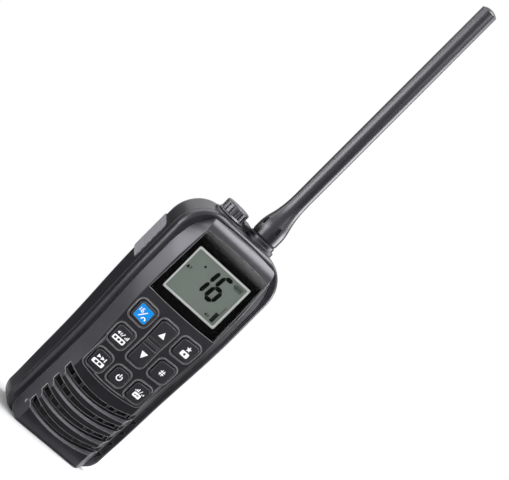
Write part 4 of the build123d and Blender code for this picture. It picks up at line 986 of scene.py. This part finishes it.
class RADIO_OT_sound(bpy.types.Operator):
    """Loudspeaker, its cloth and the microphone behind the grille"""

    bl_idname = "radio.sound"
    bl_label = "Loudspeaker"

    def execute(self, context):
        cloth = woven_cloth()
        paper = moulded(
            "speaker_paper", (0.02, 0.018, 0.017), roughness=0.85, grain=0.6, wear_and_highlight=0.0
        )
        steel = metal("speaker_steel")
        finish_nodes({"speaker_membrane": cloth, "speaker_cone": paper})
        finish_nodes({"speaker_magnet": metal("magnet")})
        finish_nodes({"speaker_basket": steel, "microphone": steel})
        return {"FINISHED"}


class RADIO_OT_antenna(bpy.types.Operator):
    """Rubber antenna with its plug and socket"""

    bl_idname = "radio.antenna"
    bl_label = "Antenna"

    def execute(self, context):
        finish = context.scene.radio_finish
        rubber = moulded(
            "antenna_rubber",
            finish.antenna_color,
            roughness=0.33,
            grain=0.02,
            mottle=0.06,
            wear_and_highlight=0.0,
            dust=0.02,
            radius=0.0,
            specular=0.6,
            reach=0.8,
        )
        core = moulded("antenna_core", (0.6, 0.58, 0.52), roughness=0.5, grain=0.1)
        brass = metal("brass")
        finish_nodes({"antenna_sheath": rubber, "antenna_core": core})
        finish_nodes({"antenna_plug": brass, "antenna_socket": brass})
        return {"FINISHED"}


class RADIO_OT_jack(bpy.types.Operator):
    """Screw cap over the accessory jack"""

    bl_idname = "radio.jack"
    bl_label = "Jack cap"

    def execute(self, context):
        cap = moulded(
            "cap_plastic",
            (0.04, 0.04, 0.045),
            roughness=0.3,
            grain=0.05,
            wear_and_highlight=1.0,
            dust=0.03,
            specular=0.6,
            polish_and_highlight=0.3,
        )
        finish_nodes({"jack_cap": cap, "jack_socket": metal("jack_metal")})
        return {"FINISHED"}


class RADIO_OT_talk(bpy.types.Operator):
    """Soft talk key on the side"""

    bl_idname = "radio.talk"
    bl_label = "Talk key"

    def execute(self, context):
        finish = context.scene.radio_finish
        pad = moulded(
            "talk_rubber", finish.talk_color, roughness=0.55, grain=0.2, wear_and_highlight=0.5, radius=0.5
        )
        stem = moulded("plunger_plastic", (0.05, 0.05, 0.055), roughness=0.5)
        finish_nodes({"ptt_button": pad, "ptt_plunger": stem})
        return {"FINISHED"}


class RADIO_OT_inner(bpy.types.Operator):
    """Boards, metal, seals and cells inside"""

    bl_idname = "radio.inner"
    bl_label = "Inner parts"

    def execute(self, context):
        board = circuit_board()
        steel = metal("steel")
        gold = metal("contacts")
        seal = moulded("seal_rubber", (0.035, 0.035, 0.035), roughness=0.6, grain=0.1)
        black = moulded("electronics", (0.015, 0.015, 0.015), roughness=0.45, grain=0.1)
        wrap = moulded("cell_wrap", (0.05, 0.2, 0.42), roughness=0.3, grain=0.05, mottle=0.05)
        for material, names in (
            (board, ("logic_board", "main_board", "battery_board")),
            (steel, ("board_screws", "case_screws", "rf_shield", "snap_domes")),
            (gold, ("battery_pads", "case_terminals", "charging_terminals")),
            (seal, SEAL_NODES),
            (black, ("board_connector", "ptt_switch")),
            (wrap, ("battery_cells",)),
            (metal("chassis_metal"), ("chassis",)),
            (metal("insert_brass"), ("clip_inserts",)),
        ):
            finish_nodes({name: material for name in names})
        return {"FINISHED"}


# ---------------------------------------------------------------- stage
CAMERA_PLACE = (-0.3605, -0.9097, 0.2330)
CAMERA_AZIMUTH = 22.0
CAMERA_ELEVATION = 5.35
CAMERA_ROLL = 45.0
CAMERA_LENS = 143.6
SENSOR = 36.0

# Brightness of the world for rays that are neither camera, mirror nor see-through ones
AMBIENT = 0.45

# Lamps: place, how high over the origin they face, width, height, and the setting of their power
LAMPS = {
    "left_light": ((-0.93, -0.24, 0.14), 0.1, 0.7, 0.36, "key_power"),
    "rim_light": ((-0.88, 0.42, 0.2), 0.12, 0.2, 0.6, "rim_power"),
    "right_light": ((0.99, -0.1, 0.14), 0.1, 0.6, 0.36, "right_power"),
    "top_light": ((0.37, -0.06, 0.97), 0.12, 0.75, 0.75, "top_power"),
}

# Bright screen at the front: place, width and height, and between which heights it fades in
SCREEN = ((0.42, -1.02, 0.33), 0.7, 0.56)
SCREEN_FADE = (0.065, 0.105)

# Upright dark cards: place, width and height
FLAGS = {
    "flag_antenna": ((0.18, -0.42, 0.19), 0.34, 0.15),
    "flag_front": ((0.45, -1.09, 0.2), 1.4, 1.0),
    "flag_back_left": ((-0.42, 0.9, 0.1), 0.6, 0.4),
    "flag_back_right": ((0.69, 0.71, 0.1), 0.9, 0.4),
}

# Dark cards just over the floor: corners in X and Y, and their height in millimetres
FLOOR_FLAGS = {
    "flag_floor_front": ((-0.03, -1.1), (1.0, -1.1), (1.0, -0.021), (-0.03, -0.021)),
    "flag_floor_left": (
        (-1.0, -0.012),
        (-0.034, -0.012),
        (-0.034, 0.05),
        (0.0, 1.1),
        (-1.0, 1.1),
    ),
    "flag_floor_right": ((0.25, 0.05), (1.0, 0.2), (0.8, 1.1), (0.17, 0.25)),
}
FLOOR_FLAG_RISE = 0.5

# Round floor, and the shares of the fade's reach where its own glow starts and is full
FLOOR_RADIUS = 1.6
FLOOR_STEPS = 64
FLOOR_FADE_REACH = 0.5
FLOOR_FADE = ((0.08, 0.0), (0.32, 1.0))


def seen_directly(tree):
    """One for camera, mirror and see-through rays, and zero for the rest."""
    path = add(tree, "LightPath").outputs
    seen = math_node(tree, "MAXIMUM", path["Is Camera Ray"], path["Is Glossy Ray"])
    return math_node(tree, "MAXIMUM", seen, path["Is Transmission Ray"])


def soft_light(name, place, aim, width, height, power):
    """Area light that points at a place and isn't seen by the camera."""
    data = bpy.data.lights.new(name, "AREA")
    data.shape = "RECTANGLE"
    data.size, data.size_y, data.energy = width, height, power
    light = bpy.data.objects.new(name, data)
    light.location = place
    light.rotation_euler = (Vector(aim) - Vector(place)).to_track_quat("-Z", "Y").to_euler()
    light.visible_camera = False
    bpy.context.scene.collection.objects.link(light)


def card(name, corners, material):
    """Flat piece of the studio."""
    data = bpy.data.meshes.new(name)
    data.from_pydata(corners, [], [tuple(range(len(corners)))])
    data.materials.append(material)
    piece = bpy.data.objects.new(name, data)
    bpy.context.scene.collection.objects.link(piece)
    return piece


def reflected_card(name, corners, material):
    """Card that only mirror and see-through rays meet."""
    piece = card(name, corners, material)
    piece.visible_camera = False
    piece.visible_diffuse = False
    piece.visible_shadow = False


def upright_card(name, place, width, height, material):
    """Reflected card that stands upright and faces the middle of the stage."""
    middle = Vector(place)
    way = Vector((-middle.x, -middle.y, 0.0)).normalized()
    side = way.cross(Vector((0, 0, 1))).normalized() * width / 2
    rise = Vector((0, 0, height / 2))
    low, high = middle - rise, middle + rise
    reflected_card(name, [low - side, low + side, high + side, high - side], material)


def glow_cloth(strength, low, high):
    """Screen that fades in from a dark foot to an even glow, between two heights."""
    material, tree, _ = bare_material("glow_cloth")
    place = add(tree, "SeparateXYZ")
    wire(tree, add(tree, "NewGeometry").outputs["Position"], place.inputs["Vector"])
    rise = math_node(tree, "SUBTRACT", place.outputs["Z"], low)
    level = ramp(tree, math_node(tree, "DIVIDE", rise, high - low), [(0.0, 0.0), (1.0, 1.0)])
    glow = add(tree, "Emission")
    wire(tree, product(tree, level, strength), glow.inputs["Strength"])
    show(tree, glow.outputs[0])
    return material


class RADIO_OT_stage(bpy.types.Operator):
    """Camera, pale floor and soft studio light"""

    bl_idname = "radio.stage"
    bl_label = "Stage"

    def execute(self, context):
        scene = context.scene
        settings = scene.radio_stage
        self.add_camera(scene)
        self.add_world(scene)
        self.add_floor(settings)
        for name, (place, height, *size, power) in LAMPS.items():
            soft_light(name, place, (0.0, 0.0, height), *size, getattr(settings, power))
        upright_card("front_screen", *SCREEN, glow_cloth(settings.front_glow, *SCREEN_FADE))
        if settings.show_flags:
            self.add_flags()
        scene.view_settings.view_transform = "Standard"
        return {"FINISHED"}

    def add_camera(self, scene):
        """Camera on the left of the front, rolled so that the radio leans across the frame."""
        azimuth, elevation = math.radians(CAMERA_AZIMUTH), math.radians(CAMERA_ELEVATION)
        level = math.cos(elevation)
        back = Vector(
            (-math.sin(azimuth) * level, -math.cos(azimuth) * level, math.sin(elevation))
        )
        right = Vector((math.cos(azimuth), -math.sin(azimuth), 0.0))
        up = back.cross(right)
        roll = math.radians(CAMERA_ROLL)
        across = right * math.cos(roll) + up * math.sin(roll)
        upward = up * math.cos(roll) - right * math.sin(roll)
        data = bpy.data.cameras.new("studio_camera")
        data.lens, data.sensor_width = CAMERA_LENS, SENSOR
        camera = bpy.data.objects.new("studio_camera", data)
        rows = [(across[k], upward[k], back[k], CAMERA_PLACE[k]) for k in range(3)]
        camera.matrix_world = Matrix(rows + [(0.0, 0.0, 0.0, 1.0)])
        scene.collection.objects.link(camera)
        scene.camera = camera

    def add_world(self, scene):
        """White to look at, with a plain ambient level for all other light."""
        world = bpy.data.worlds.new("studio_world")
        world.use_nodes = True
        tree = world.node_tree
        background = tree.nodes["Background"]
        background.inputs["Color"].default_value = (1.0, 1.0, 1.0, 1.0)
        rest = product(tree, seen_directly(tree), 1.0 - AMBIENT)
        wire(tree, math_node(tree, "ADD", AMBIENT, rest), background.inputs["Strength"])
        scene.world = world

    def add_floor(self, settings):
        """Pale paper that takes shadows near the radio and turns plain white further out."""
        material, tree, shader = bare_material(
            "floor_paper",
            Base_Color=opaque(settings.floor_color),
            Roughness=0.8,
            Specular_IOR_Level=0.1,
        )
        reach = add(tree, "VectorMath", operation="LENGTH")
        wire(tree, add(tree, "TexCoord").outputs["Object"], reach.inputs[0])
        share = math_node(tree, "DIVIDE", reach.outputs["Value"], FLOOR_FADE_REACH)
        white = product(tree, ramp(tree, share, FLOOR_FADE), seen_directly(tree))
        show_mix(tree, white, shader, add(tree, "Emission"))
        turn = 2 * math.pi / FLOOR_STEPS
        corners = [
            (FLOOR_RADIUS * math.cos(turn * k), FLOOR_RADIUS * math.sin(turn * k), 0.0)
            for k in range(FLOOR_STEPS)
        ]
        card("floor", corners, material)

    def add_flags(self):
        """Dark cards that give the shells their contrast."""
        black = moulded(
            "flag_cloth", (0.01, 0.01, 0.01), roughness=0.9, grain=0.0, wear_and_highlight=0.0, specular=0.0
        )
        for name, (place, width, height) in FLAGS.items():
            upright_card(name, place, width, height, black)
        rise = FLOOR_FLAG_RISE * MM
        for name, corners in FLOOR_FLAGS.items():
            reflected_card(name, [(x, y, rise) for x, y in corners], black)


# ---------------------------------------------------------------- panel and run
class RADIO_PT_panel(bpy.types.Panel):
    """Lists the operators and settings."""

    bl_label = "Marine Radio"
    bl_idname = "RADIO_PT_panel"
    bl_space_type = "VIEW_3D"
    bl_region_type = "UI"
    bl_category = "Radio"

    def draw(self, context):
        for operator in OPERATORS:
            self.layout.operator(operator.bl_idname)
        for group in SETTINGS:
            settings = getattr(context.scene, group)
            box = self.layout.box()
            for name in settings.__annotations__:
                box.prop(settings, name)


OPERATORS = (
    RADIO_OT_shells,
    RADIO_OT_keys,
    RADIO_OT_window,
    RADIO_OT_display,
    RADIO_OT_sound,
    RADIO_OT_antenna,
    RADIO_OT_jack,
    RADIO_OT_talk,
    RADIO_OT_inner,
    RADIO_OT_stage,
)
SETTINGS = {
    "radio_finish": RadioFinishSettings,
    "radio_display": RadioDisplaySettings,
    "radio_stage": RadioStageSettings,
}
GROUPS = (moulded_texture, edge_wear, cavity_shade, dust_film, brushed_grain)


def register():
    """Adds the settings, operators and panel."""
    for name, settings in SETTINGS.items():
        bpy.utils.register_class(settings)
        setattr(bpy.types.Scene, name, PointerProperty(type=settings))
    for operator in OPERATORS:
        bpy.utils.register_class(operator)
    bpy.utils.register_class(RADIO_PT_panel)


def unregister():
    """Removes them again."""
    bpy.utils.unregister_class(RADIO_PT_panel)
    for operator in reversed(OPERATORS):
        bpy.utils.unregister_class(operator)
    for name, settings in SETTINGS.items():
        delattr(bpy.types.Scene, name)
        bpy.utils.unregister_class(settings)


def main():
    """Finishes the radio and sets the studio."""
    register()
    for effect in GROUPS:
        effect()
    for operator in OPERATORS:
        getattr(bpy.ops.radio, operator.bl_idname.split(".")[1])()


if __name__ == "__main__":
    main()
